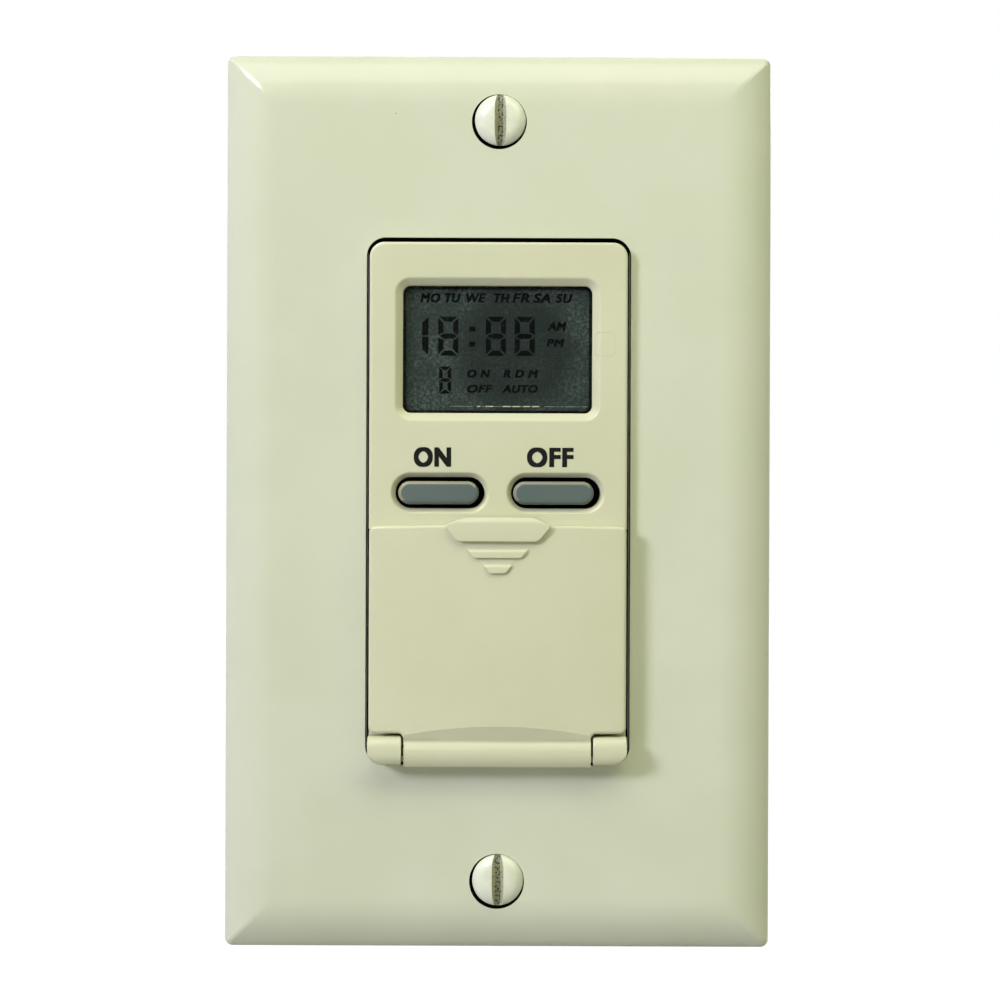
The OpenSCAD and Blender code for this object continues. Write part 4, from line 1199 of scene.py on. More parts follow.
@dataclass
class WallPlate:
    """The glossy plate with its curved border, device opening and two sunk screw holes."""

    run: float = 6.4
    drop: float = 2.6
    wall: float = 2.0
    corner: float = 1.05
    mitre: float = 0.5
    rim_edge: float = 0.45
    opening: Outline = Outline.even(33.66, 67.2, 2.4, 0.02, 0.01)
    opening_edge: float = 0.1
    screw_y: float = SCREW_Y
    sink_r: float = 3.5
    sink_wall: float = 0.55
    sink_depth: float = 2.4
    sink_edge: float = 0.1
    sink_over: float = 1.0
    hole_r: float = 2.0
    boss_r: float = 4.6
    boss_low: float = 1.3
    boss_edge: float = 0.15
    arc_steps: int = 16

    def build(self) -> None:
        """Builds the plate as one closed shell."""
        low, high = bench_box("wall_plate")
        face = high.z
        outline = replace(Outline.even(high.x - low.x, high.y - low.y, self.corner), least=self.mitre)
        bench = Bench()
        inner, outer = bench.loft(outline, self.border(face))
        front, back = bench.loft(self.opening, self.opening_wall(face))
        bench.fill(outer, front)
        bench.fill(inner, back)
        for profile, way in ((self.boss(face), Join.ADD), (self.sink(face), Join.TAKE)):
            tool = Bench()
            for side in (-1, 1):
                tool.lathe(profile, Matrix.Translation((0, side * self.screw_y, 0)))
            bench.join(tool, way)
        bench.paint(1, lambda side: self.in_shadow(side, face))
        finishes = (GLOSS_IVORY, SHADOW_BLACK)
        bench.piece("wall_plate_shell", Body.DEVICE, "ivory_plate", *finishes, nodes=["wall_plate"])

    def in_shadow(self, side: bmesh.types.BMFace, face: float) -> bool:
        """Finds the faces that the device and the screws keep in shadow.

        Args:
            side: The face.
            face: Height of the plate's front.

        Returns:
            Whether it lies wholly inside the opening or a screw hole, below the soft edge.
        """
        hole = self.opening.grow(LOW_EDGE)
        spots = [vert.co for vert in side.verts]
        opening = all(
            abs(spot.x - hole.x) < hole.width / 2 and abs(spot.y - hole.y) < hole.height / 2
            for spot in spots
        )
        reach = self.sink_r + LOW_EDGE
        sunk = all(math.hypot(spot.x, abs(spot.y) - self.screw_y) < reach for spot in spots)
        return (opening or sunk) and side.calc_center_median().z < face - self.opening_edge

    def border(self, face: float) -> list[Point]:
        """Works out the section of the border, from the inner flat round the rim to the front.

        Args:
            face: Height of the plate's front.

        Returns:
            Distances out of the plate's outline, with their heights.
        """
        radius = (self.run**2 + self.drop**2) / (2 * self.drop)
        steep = math.asin(self.run / radius)
        inner = radius - self.wall
        inner_steep = math.asin((self.run - self.wall) / inner)
        turns = [step / self.arc_steps for step in range(self.arc_steps + 1)]
        centre = (-self.run, face - radius)
        hollow = [on_arc(centre, inner, inner_steep * turn) for turn in turns]
        dome = [on_arc(centre, radius, steep * (1 - turn)) for turn in turns]
        edge = soften([(0, 0), dome[0], dome[2]], [self.rim_edge])
        flat = self.run + APRON
        return [
            (-flat, face - self.wall),
            *hollow,
            (-self.wall, 0.0),
            *edge[:-1],
            *dome[2:],
            (-flat, face),
        ]

    def opening_wall(self, face: float) -> list[Point]:
        """Works out the wall of the device opening, from the front to the inner flat.

        Args:
            face: Height of the plate's front.

        Returns:
            Distances out of the opening, with their heights.
        """
        back = face - self.wall
        points = [(self.opening_edge + APRON, face), (0, face), (0, back), (APRON, back)]
        return soften(points, [self.opening_edge, LOW_EDGE])

    def boss(self, face: float) -> list[Point]:
        """Works out the section of the boss behind a screw hole.

        Args:
            face: Height of the plate's front.

        Returns:
            Its radii, with their heights.
        """
        top = face - self.wall / 2
        points = [(0, top), (self.boss_r, top), (self.boss_r, self.boss_low), (0, self.boss_low)]
        return soften(points, [LOW_EDGE, self.boss_edge])

    def sink(self, face: float) -> list[Point]:
        """Works out the section of what a screw hole takes away.

        Args:
            face: Height of the plate's front.

        Returns:
            Its radii, with their heights.
        """
        above, below = face + self.sink_over, self.boss_low - self.sink_over
        points = [
            (0, above),
            (self.sink_r, above),
            (self.sink_r, face - self.sink_wall),
            (self.hole_r, face - self.sink_depth),
            (self.hole_r, below),
            (0, below),
        ]
        return soften(points, [LOW_EDGE, self.sink_edge, self.sink_edge, LOW_EDGE])


@dataclass
class PlateScrews:
    """Two painted oval-head screws with real threads, whose slots are painted darker, partly as worn paint
    and partly as painted shade.
    """

    spot_y: float = SCREW_Y
    head_r: float = 3.24
    shift: Point = (0.13, 0.19)
    dome: float = 0.9
    fullness: float = 4.5
    dome_steps: int = 20
    land: float = 0.45
    sink_depth: float = 1.9
    neck: float = 0.3
    crest_r: float = 1.75
    root_r: float = 1.4
    ridge_sunk: float = 0.05
    pitch: float = 0.79
    thread_gap: float = 0.6
    tip_ease: float = 0.5
    slot_top_w: float = 1.5
    slot_low_w: float = 0.64
    slot_floor: float = 5.42
    slot_over: float = 1.0
    slot_edge: float = 0.07
    slot_margin: float = 0.02
    slot_wall_tilt: float = 0.3
    slot_floor_band: float = 0.1
    slot_ease_band: float = 0.2

    def build(self) -> None:
        """Builds both screws as one piece."""
        low, high = bench_box("plate_screws")
        face = high.z - self.dome
        bench = Bench()
        for side in (-1, 1):
            self.screw(bench, low.z, face, side * self.spot_y)
        eased_from = self.slot_floor - self.slot_ease_band
        bench.soften_edges(self.slot_edge, lambda middle: middle.z > eased_from)
        # The slots' walls and floors are painted darker, partly worn paint and partly painted shade.
        bench.paint(1, lambda side: self.in_slot(side) and abs(side.normal.x) > self.slot_wall_tilt)
        bench.paint(2, self.on_slot_floor)
        bench.paint(3, lambda side: side.calc_center_median().z < face - self.land)
        finishes = (SCREW_PAINT, SLOT_WALL_WEAR_AND_SHADE, WORN_AND_SHADED_SLOT, ZINC_STEEL)
        bench.piece("plate_screw_pair", Body.DEVICE, "ivory_screw", *finishes, nodes=["plate_screws"])

    def in_slot(self, side: bmesh.types.BMFace) -> bool:
        """Finds the faces of the slots.

        Args:
            side: A face.

        Returns:
            Whether it lies inside a screw's slot.
        """
        middle = side.calc_center_median()
        within = abs(middle.x - self.shift[0]) < self.slot_top_w / 2 - self.slot_margin
        return within and middle.z > self.slot_floor - self.slot_margin

    def on_slot_floor(self, side: bmesh.types.BMFace) -> bool:
        """Tells whether a face lies on the floor of a screw's slot."""
        level = self.slot_floor + self.slot_floor_band
        return self.in_slot(side) and side.calc_center_median().z < level

    def screw(self, bench: Bench, tip: float, face: float, spot_y: float) -> None:
        """Adds one screw to the bench.

        Args:
            bench: The bench.
            tip: Height of the screw's tip.
            face: Height of the plate's face.
            spot_y: Height of the screw above the plate's centre.
        """
        shares = [step / self.dome_steps for step in range(self.dome_steps + 1)]
        profile = [(self.head_r * share, face + self.dome * (1 - share**self.fullness)) for share in shares]
        profile += [
            (self.head_r, face - self.land),
            (self.root_r, face - self.sink_depth - self.neck),
            (self.root_r, tip + self.tip_ease),
            (self.root_r - self.tip_ease, tip),
            (0, tip),
        ]
        x, y = self.shift[0], spot_y + self.shift[1]
        place = Matrix.Translation((x, y, 0))
        head = Bench()
        head.lathe(profile, place)
        head.join(self.slot_blade(x, y, face + self.dome), Join.TAKE)
        start = tip + self.thread_gap
        turns = int((face - self.sink_depth - self.thread_gap - start) / self.pitch)
        head.thread(self.root_r - self.ridge_sunk, self.crest_r, self.pitch, start, turns, place)
        bench.add(head)

    def slot_blade(self, x: float, y: float, top: float) -> Bench:
        """Makes the flared blade that cuts a screw's slot.

        Args:
            x: The screw's place across the plate.
            y: Its place up the plate.
            top: Height of the top of its head.

        Returns:
            The blade.
        """
        blade = Bench()
        slot = Outline.even(self.slot_low_w, 2 * (self.head_r + self.slot_over), LEAST_CORNER, x, y)
        flare = (self.slot_top_w - self.slot_low_w) / 2
        ends = blade.loft(slot, [(0, self.slot_floor), (flare, top), (flare, top + self.slot_over)])
        for end in ends:
            blade.fill(end)
        return blade


@dataclass
class FrontBezel:
    """The satin moulding: flange, skirt, key deck, upper panel and the fixed hinge knuckles."""

    half_w: float = 16.4
    half_h: float = 33.2
    corner: float = 1.9
    wall: float = 1.5
    inside_corner: float = 0.6
    flange_corner: float = 2.0
    flange_edge: float = 0.1
    seam_y: float = -3.6
    seam_corner: float = 0.2
    deck: float = 5.2
    deck_edge: float = 0.08
    key_edge: float = 0.12
    panel: float = PANEL_OUT
    panel_edge: float = 0.42
    window: Hole = Hole(Outline.even(24.1, 16.2, 1, *WINDOW_SPOT), 0.2, 0.95, 0.8)
    well: Outline = Outline.even(11.3, 3.95, 1.975, -0.03, 1.12)
    well_edge: float = 0.15
    well_bevel: float = 0.6
    well_depth: float = 0.55
    shade_rib_half: Point = (16.78, 34.3)
    shade_rib_span: Point = (1.25, 1.6)
    panel_top: float = 32.97
    knuckle_foot: float = -33.3
    button_x: float = 7.35
    row_keys: Sequence[float] = (-9.8, 0, 9.8)
    row_y: float = -7.2
    column_keys: Sequence[float] = (-14, -19.8, -25.6)
    column_x: float = 9.4
    row_hole: Outline = Outline.even(8.1, 4.3, 1.05)
    column_hole: Outline = Outline.even(6.9, 4.1, 1.05)
    reset_hole: Outline = Outline.circle(1.35, 3.2, -26.5)
    battery_hole: Outline = Outline.circle(8.1, *BATTERY_SPOT)
    screw_hole: Outline = Outline.circle(1.4)
    screw_spots: Sequence[Point] = ((-19.2, -32.2), (19.2, -32.2), (19.2, 32.2), (-19.2, 32.2))
    knuckle_in: float = 12.14
    knuckle_r: float = 1.95
    knuckle_fullness: float = 0.72
    knuckle_edge: float = 0.22
    knuckle_sunk: float = 0.6
    knuckle_turn: float = math.radians(84)
    knuckle_steps: int = 14
    hinge_y: float = HINGE_Y
    hinge_out: float = HINGE_OUT

    def build(self) -> None:
        """Builds the moulding from its slabs and knuckles."""
        low, high = bench_box("front_bezel")
        back = self.panel - self.wall
        under = self.deck - self.wall
        inner_w, inner_h = self.half_w - self.wall, self.half_h - self.wall
        inside = Outline.even(2 * inner_w, 2 * inner_h, self.inside_corner)
        flange = Outline.even(high.x - low.x, high.y - low.y, self.flange_corner)
        screws = [Hole(replace(self.screw_hole, x=x, y=y)) for x, y in self.screw_spots]
        bench = Bench()
        bench.slab(flange, low.z, -STACK_GAP, self.flange_edge, [Hole(inside), *screws])
        bench.paint(2, lambda side: True)
        # The skirt and the rib round it are painted shade black, so the gap round the face looks deep; the
        # flange below them is dark like the housing.
        face = Outline.even(2 * self.half_w, 2 * self.half_h, self.corner)
        bench.slab(face, 0, under - STACK_GAP, LOW_EDGE, [Hole(inside, LOW_EDGE)])
        rib = Outline.even(2 * self.shade_rib_half[0], 2 * self.shade_rib_half[1], self.corner)
        bench.slab(rib, *self.shade_rib_span, LOW_EDGE, [Hole(face.grow(-self.wall / 4), LOW_EDGE)])
        bench.paint(1, lambda side: side.material_index == 0)
        upper = self.upper_face()
        bench.slab(upper, under, back - STACK_GAP, LOW_EDGE, [Hole(upper.grow(-self.wall), LOW_EDGE)])
        bench.slab(upper, back, self.panel, self.panel_edge, [self.window, *self.wells()])
        bench.slab(self.lower_face(), under, self.deck, self.deck_edge, self.deck_holes())
        for side in (-1, 1):
            self.knuckle(bench, side)
        finishes = (SATIN_IVORY, SHADOW_BLACK, HOUSING_BLACK)
        bench.piece("bezel_moulding", Body.DEVICE, "ivory_face", *finishes, nodes=["front_bezel"])

    def upper_face(self) -> Outline:
        """Returns the outline of the panel, from the seam up to the head of the face."""
        corners = (self.corner, self.corner, self.seam_corner, self.seam_corner)
        return Outline.span(-self.half_w, self.half_w, self.seam_y, self.panel_top, corners)

    def lower_face(self) -> Outline:
        """Returns the outline of the key deck, from the seam down to the foot of the face."""
        corners = (self.seam_corner, self.seam_corner, self.corner, self.corner)
        return Outline.span(-self.half_w, self.half_w, -self.half_h, self.seam_y, corners)

    def wells(self) -> list[Hole]:
        """Returns the sloped wells of the two buttons."""
        outlines = [replace(self.well, x=self.well.x + side * self.button_x) for side in (-1, 1)]
        return [Hole(outline, self.well_edge, self.well_bevel, self.well_depth) for outline in outlines]

    def deck_holes(self) -> list[Hole]:
        """Works out the holes of the deck.

        Returns:
            Those of its keys, its reset pin and its battery cap.
        """
        outlines = [replace(self.row_hole, x=x, y=self.row_y) for x in self.row_keys]
        outlines += [replace(self.column_hole, x=self.column_x, y=y) for y in self.column_keys]
        outlines += [self.reset_hole, self.battery_hole]
        return [Hole(outline, self.key_edge) for outline in outlines]

    def knuckle(self, bench: Bench, side: int) -> None:
        """Adds one hinge knuckle, rounded in front, whose outer foot follows the face's corner.

        Args:
            bench: The bench.
            side: Which of the two it is, -1 on the left and 1 on the right.
        """
        foot, edge = self.knuckle_foot, self.knuckle_edge
        heights = [(self.deck - self.knuckle_sunk, 0.0), (self.hinge_out, 0.0)]
        for step in range(1, self.knuckle_steps + 1):
            turn = self.knuckle_turn * step / self.knuckle_steps
            rise = self.knuckle_r * math.sin(turn) ** self.knuckle_fullness
            heights.append((self.hinge_out + rise, turn))
        rings = []
        for height, turn in heights:
            reach = self.knuckle_r * math.cos(turn) ** self.knuckle_fullness
            low = max(self.hinge_y - reach, foot)
            round_foot = max(self.corner - (low - foot), edge)
            sides = sorted((side * self.knuckle_in, side * self.half_w))
            feet = (edge, round_foot) if side > 0 else (round_foot, edge)
            outline = Outline.span(*sides, low, self.hinge_y + reach, (edge, edge, *feet))
            rings.append(bench.ring(outline, height))
        bench.bridge(rings)
        bench.fill(rings[0])
        bench.fill(rings[-1])


@dataclass
class AccessDoor:
    """The flip-down door: crowned face, finger tab, guide bars, scoop and hinge barrel."""

    half_w: float = 16.3
    top_y: float = -2.9
    low_y: float = -29.35
    back: float = 7.05
    front: float = 9.0
    corner: float = 0.75
    edge: float = 0.4
    crown_r: float = 180.0
    arch_r: float = 540.0
    neck_low_y: float = -31.0
    barrel_r: float = 1.6
    cap_r: float = 2.9
    cap_y: float = -31.88
    cap_front: float = 8.71
    cap_low_y: float = -33.68
    cap_edge: float = 0.22
    barrel_half: float = 11.85
    barrel_edge: float = 0.18
    bore_r: float = 0.75
    hinge_y: float = HINGE_Y
    hinge_out: float = HINGE_OUT
    valley_y: float = -30.44
    valley_out: float = 8.318
    scoop_deg: float = 18.5
    rim: float = 0.95
    pocket: float = 0.5
    pocket_edge: float = 0.15
    skirt_span: Point = (-28.6, -4.1)
    skirt_low: float = 5.4
    tab_back: float = 7.3
    tab_raise: float = 0.62
    tab: Sequence[Point] = (
        (-5.125, -5.06), (5.125, -5.06), (6.8, -3.02), (4.45, -1.95), (-4.45, -1.95), (-6.8, -3.02),
    )
    tab_corner: float = 0.5
    tab_roll: Point = (0.85, 0.42)
    bar_raise: float = 0.36
    bar_sunk: float = 0.6
    bar_corner: float = 0.12
    bar_roll: Point = (0.42, 0.22)
    roll_steps: int = 6
    bar_tops: Sequence[Point] = ((-6.02, 3.85), (-7.96, 1.85))
    bar_h: float = 1.08
    bar_taper: float = 0.9
    strip_w: float = 1.0
    mark_edge: float = 0.13
    fillet_size: float = 0.34
    fillet_drop: float = 0.8
    fillet_round: float = 0.78
    cap_foot: Point = (-33.1, 7.5)
    cap_core: Sequence[Point] = ((-32.4, 8.05), (-31.0, 8.05))

    def build(self) -> None:
        """Builds the door as one piece that rides on its hinge."""
        bench = Bench()
        bench.prism(self.outline(), self.back, self.front, self.corner, self.edge)
        self.hollow_back(bench)
        self.slice_and_bend(bench)
        self.scoop(bench)
        raised = Bench()
        self.raised_marks(raised)
        self.slice_and_bend(raised)
        for extra in (raised, self.skirts(), self.barrel(), self.barrel_front()):
            bench.add(extra)
        bench.piece(
            "door_panel", Body.DOOR, "ivory_face", SATIN_IVORY, nodes=["access_door"], crease=CREASE_ANGLE
        )

    def outline(self) -> list[Point]:
        """Works out the door's outline, with the neck that joins it to the barrel.

        Returns:
            Its corners, counted anticlockwise.
        """
        return [
            (-self.half_w, self.low_y),
            (-self.barrel_half, self.low_y),
            (-self.barrel_half, self.neck_low_y),
            (self.barrel_half, self.neck_low_y),
            (self.barrel_half, self.low_y),
            (self.half_w, self.low_y),
            (self.half_w, self.top_y),
            (-self.half_w, self.top_y),
        ]

    def hollow_back(self, bench: Bench) -> None:
        """Sinks a shallow pocket into the back, and keeps the front's shading flat up to its edge.

        Args:
            bench: The bench with the flat door.
        """
        side = self.half_w - self.rim
        pocket = Outline.span(-side, side, self.low_y + self.rim, self.top_y - self.rim, (self.corner,) * 4)
        blade = Bench()
        blade.slab(pocket, self.back - self.pocket, self.back + self.pocket, self.pocket_edge)
        bench.join(blade, Join.TAKE)
        top = max(bench.mesh.faces, key=lambda face: face.calc_area() * (face.normal.z > FACING_OUT))
        bmesh.ops.inset_region(bench.mesh, faces=[top], thickness=APRON)

    def slice_and_bend(self, bench: Bench) -> None:
        """Cuts the flat shape into upright strips and bends them to the crown and the arched top.

        Args:
            bench: The bench with the flat shape.
        """
        count = int(self.half_w / self.strip_w)
        for step in range(-count, count + 1):
            bench.cut((step * self.strip_w, 0, 0), (1, 0, 0))
        for vert in bench.mesh.verts:
            square = vert.co.x**2
            if vert.co.z > self.front - 2 * self.edge:
                vert.co.z -= square / (2 * self.crown_r)
            if vert.co.y > self.top_y - 3 * self.edge:
                vert.co.y -= square / (2 * self.arch_r)

    def scoop(self, bench: Bench) -> None:
        """Cuts the sloped scoop above the barrel; the crown gives it its arched upper edge.

        Args:
            bench: The bench with the bent door.
        """
        turn = math.radians(self.scoop_deg)
        slope = (0, -math.sin(turn), math.cos(turn))
        bench.fill(bench.cut((0, self.valley_y, self.valley_out), slope, clear=True))

    def raised_marks(self, bench: Bench) -> None:
        """Adds the finger tab and the two guide bars under it, each rolled back along its top.

        Args:
            bench: The bench.
        """
        tab_front, bar_front = self.front + self.tab_raise, self.front + self.bar_raise
        bench.prism(self.tab, self.tab_back, tab_front, self.tab_corner, self.mark_edge)
        self.roll_top(bench, max(y for _, y in self.tab), *self.tab_roll)
        for high, half in self.bar_tops:
            low = high - self.bar_h
            narrow = half - self.bar_taper
            points = [(-narrow, low), (narrow, low), (half, high), (-half, high)]
            bench.prism(points, self.front - self.bar_sunk, bar_front, self.bar_corner, self.mark_edge)
            self.roll_top(bench, high, *self.bar_roll)

    def roll_top(self, bench: Bench, top: float, reach: float, drop: float) -> None:
        """Bends the upper edge of a mark backwards.

        Args:
            bench: The bench.
            top: Height of the mark's upper edge.
            reach: How far down the bend starts.
            drop: How far back the edge goes.
        """
        start = top - reach
        for step in range(self.roll_steps):
            bench.cut((0, start + reach * step / self.roll_steps, 0), (0, 1, 0))
        for vert in bench.mesh.verts:
            if start < vert.co.y < top + LOW_EDGE and vert.co.z > self.front:
                vert.co.z -= drop * ((vert.co.y - start) / reach) ** 2

    def skirts(self) -> Bench:
        """Makes the two side walls that close the gap between the door and the deck.

        Returns:
            The bench that holds them.
        """
        bench = Bench()
        inner, outer = self.half_w - self.rim + LOW_EDGE, self.half_w - LOW_EDGE
        for sides in ((-outer, -inner), (inner, outer)):
            outline = Outline.span(*sides, *self.skirt_span, (self.edge,) * 4)
            bench.slab(outline, self.skirt_low, self.back + self.pocket / 2, LOW_EDGE)
        return bench

    def barrel_front(self) -> Bench:
        """Makes the flatter front of the barrel, with the concave strip that eases the scoop into it.

        Returns:
            The bench that holds it.
        """
        turn = math.radians(self.scoop_deg)
        above = (
            self.valley_y + self.fillet_size * math.cos(turn),
            self.valley_out + self.fillet_size * math.sin(turn),
        )
        top_y = self.valley_y - self.fillet_size * self.fillet_drop
        steps = range(ARC_STEPS + 1)
        rows = [top_y + (self.cap_low_y - top_y) * step / ARC_STEPS for step in steps]
        front = [(y, self.front_at(y)) for y in rows]
        valley = (self.valley_y, self.valley_out)
        outer = soften([above, valley, front[0]], [self.fillet_size * self.fillet_round])[:-1]
        foot = soften([front[-2], front[-1], self.cap_foot], [self.cap_edge])[1:]
        bench = Bench()
        bench.prism([*outer, *front[:-1], *foot, *self.cap_core], -self.barrel_half, self.barrel_half)
        bench.move(LAY_ALONG_X)
        return bench

    def front_at(self, y: float) -> float:
        """Returns how far out the barrel's front is at a height."""
        return self.cap_front - self.cap_r + math.sqrt(self.cap_r**2 - (y - self.cap_y) ** 2)

    def barrel(self) -> Bench:
        """Makes the bored hinge barrel.

        Returns:
            The bench that holds it.
        """
        bench = Bench()
        half = self.barrel_half
        points = [(self.bore_r, -half), (self.barrel_r, -half), (self.barrel_r, half), (self.bore_r, half)]
        profile = soften(points, [self.barrel_edge, self.barrel_edge])
        bench.lathe(profile, along_x(0, self.hinge_y, self.hinge_out), closed=True)
        return bench


@dataclass(frozen=True)
class WordRow:
    """A row of words on the display, each with its place across and its width."""

    y: float
    height: float
    words: Sequence[tuple[str, float, float]]


@dataclass
class Display:
    """The clear window, the liquid crystal cell behind it and its dark segments."""

    x: float = -0.05
    y: float = 19.3
    pane: Outline = Outline.even(23.9, 16.0, 0.9, *WINDOW_SPOT)
    pane_edge: float = 0.12
    pane_rim: float = 0.2
    pane_back: float = 5.3
    lip: Outline = Outline.even(26.5, 18.4, 1, 0, 19.5)
    lip_lift: float = 0.05
    cell_corner: float = 0.15
    cell_edge: float = 0.06
    glass: float = 4.46
    face: float = 5.2
    polariser_in: float = 0.25
    ink: float = 0.03
    big_digit: Point = (2.56, 4.99)
    big_thick: float = 0.66
    big_spots: Sequence[Point] = ((-6.37, 1.8), (-0.29, 1.8), (3.38, 1.8))
    one_spot: Point = (-9.3, 1.8)
    one_w: float = 0.8
    one_ease: float = 0.1
    small_digit: Point = (1.53, 3.45)
    small_thick: float = 0.46
    small_spot: Point = (-6.75, -3.82)
    colon_dots: Sequence[Point] = ((-3.3, 2.7), (-3.3, 0.78))
    colon_size: Point = (0.77, 0.64)
    stroke: float = 0.16
    stroke_thick: float = 0.62
    word_slant: float = 0.22
    word_weight: float = 0.137
    panel: float = PANEL_OUT
    flap: Outline = Outline.span(12.2, 14.8, 18.5, 21.6, (0.5,) * 4)
    flap_line: float = 0.14
    film_edges: Sequence[tuple[float, float, float, float]] = (
        (-6.15, -3.25, -7.2, -7.13), (-2.65, 5.35, -7.21, -7.1), (5.95, 11.45, -7.2, -7.13),
    )
    glint_x: float = 1.3
    glint_half: float = 4.2
    rows: Sequence[WordRow] = (
        WordRow(
            6.67,
            1.2,
            (
                ("MO", -8.67, 2.56),
                ("TU", -5.82, 2.05),
                ("WE", -2.85, 2.5),
                ("TH", 0.45, 2.05),
                ("FR", 2.88, 2.2),
                ("SA", 5.55, 2.2),
                ("SU", 8.4, 2.17),
            ),
        ),
        WordRow(3.08, 1.12, (("AM", 7.5, 2.43),)),
        WordRow(0.97, 1.02, (("PM", 7.31, 2.3),)),
        WordRow(-2.99, 1.02, (("O N", -2.47, 2.94), ("R D M", 2.9, 4.48))),
        WordRow(-4.91, 1.02, (("OFF", -2.31, 3.26), ("AUTO", 2.81, 4.54))),
    )

    def build(self) -> None:
        """Builds the pane, the cell and everything shown on it."""
        self.window_pane()
        self.cell()
        self.segments()
        self.film()

    def window_pane(self) -> None:
        """Builds the clear pane with the lip that holds it behind the panel."""
        low, high = bench_box("display_lens")
        bench = Bench()
        bench.slab(self.pane, self.pane_back, high.z, self.pane_edge)
        rim = Hole(self.pane.grow(-self.pane_rim), SMALL_EDGE)
        bench.slab(self.lip, low.z + self.lip_lift, self.pane_back, SMALL_EDGE, [rim])
        bench.piece("display_pane", Body.DEVICE, "clear_window", CLEAR_PANE, nodes=["display_lens"])

    def cell(self) -> None:
        """Builds the liquid crystal cell with the film on its face."""
        low, high = bench_box("display_glass")
        bench = Bench()
        outline = Outline.span(low.x, high.x, low.y, high.y, (self.cell_corner,) * 4)
        bench.slab(outline, low.z, self.glass - STACK_GAP, self.cell_edge)
        bench.slab(self.pane.grow(-self.polariser_in), self.glass, self.face, SMALL_EDGE)
        bench.piece("display_cell", Body.DEVICE, "lcd_glass", LCD_DARK, nodes=["display_glass"])

    def segments(self) -> None:
        """Builds the figures, the colon and the words that the cell shows."""
        bench = Bench()
        for spot in self.big_spots:
            self.digit(bench, spot, self.big_digit, self.big_thick)
        self.digit(bench, self.small_spot, self.small_digit, self.small_thick)
        self.one(bench)
        half_w, half_h = self.colon_size[0] / 2, self.colon_size[1] / 2
        for x, y in self.colon_dots:
            self.bar(bench, rectangle(x - half_w, x + half_w, y - half_h, y + half_h))
        top = self.face + self.ink
        for row in self.rows:
            for text, x, width in row.words:
                box = Outline.even(width, row.height, 0, self.x + x, self.y + row.y)
                bench.words(text, box, self.face, top, self.word_slant, self.word_weight)
        bench.piece("display_segments", Body.DEVICE, "lcd_glass", LCD_INK)

    def film(self) -> None:
        """Builds the protective film's lower edge, painted pale as a highlight, and the line round its
        small flap.
        """
        bench = Bench()
        for sides in self.film_edges:
            self.bar(bench, rectangle(*sides))
        # The edge strips are painted as a highlight, brighter in the middle.
        bench.paint(1, lambda side: abs(side.calc_center_median().x - self.glint_x) < self.glint_half)
        bench.piece("display_film_edge", Body.DEVICE, "lcd_glass", FILM_EDGE_SHEEN, FILM_GLINT)
        flap = Bench()
        wall = [(0, self.panel - self.ink), (0, self.panel + self.ink)]
        rings = [flap.loft(outline, wall) for outline in (self.flap, self.flap.grow(-self.flap_line))]
        for level in zip(*rings):
            flap.fill(*level)
        flap.piece("display_film_flap", Body.DEVICE, "clear_window", CLEAR_FILM)

    def bar(self, bench: Bench, points: Sequence[Point]) -> None:
        """Adds one dark segment at points given from the display's middle."""
        placed = [(x + self.x, y + self.y) for x, y in points]
        bench.prism(placed, self.face, self.face + self.ink)

    def one(self, bench: Bench) -> None:
        """Adds the two upright segments of the leading figure.

        Args:
            bench: The bench.
        """
        x, y = self.one_spot
        left, right = x - self.one_w / 2, x + self.one_w / 2
        height = self.big_digit[1] / 2
        for side in (-1, 1):
            points = [
                (left, y + side * self.stroke / 2),
                (right, y + side * self.stroke / 2),
                (right, y + side * (height - self.one_ease)),
                (left, y + side * (height - self.one_w)),
            ]
            self.bar(bench, points if side > 0 else points[::-1])

    def digit(self, bench: Bench, spot: Point, size: Point, thick: float) -> None:
        """Adds the seven segments of one figure.

        Args:
            bench: The bench.
            spot: The figure's middle.
            size: Its width and height.
            thick: Width of a segment.
        """
        half_w, half_h = size[0] / 2, size[1] / 2
        gap = self.stroke * thick / self.stroke_thick
        inner = half_w - thick
        bars = []
        for side in (-1, 1):
            for end in (-1, 1):
                upright = [
                    (end * half_w, side * (half_h - gap)),
                    (end * inner, side * (half_h - thick - gap)),
                    (end * inner, side * (thick / 2 + gap)),
                    (end * half_w, side * gap),
                ]
                bars.append(upright if end * side < 0 else upright[::-1])
            flat = [
                (-half_w + gap, side * half_h),
                (half_w - gap, side * half_h),
                (inner - gap, side * (half_h - thick)),
                (-inner + gap, side * (half_h - thick)),
            ]
            bars.append(flat if side < 0 else flat[::-1])
        right = [(inner, -thick / 2), (half_w - gap, 0), (inner, thick / 2)]
        bars.append([*right, *((-x, -y) for x, y in right)])
        for points in bars:
            self.bar(bench, [(spot[0] + x, spot[1] + y) for x, y in points])


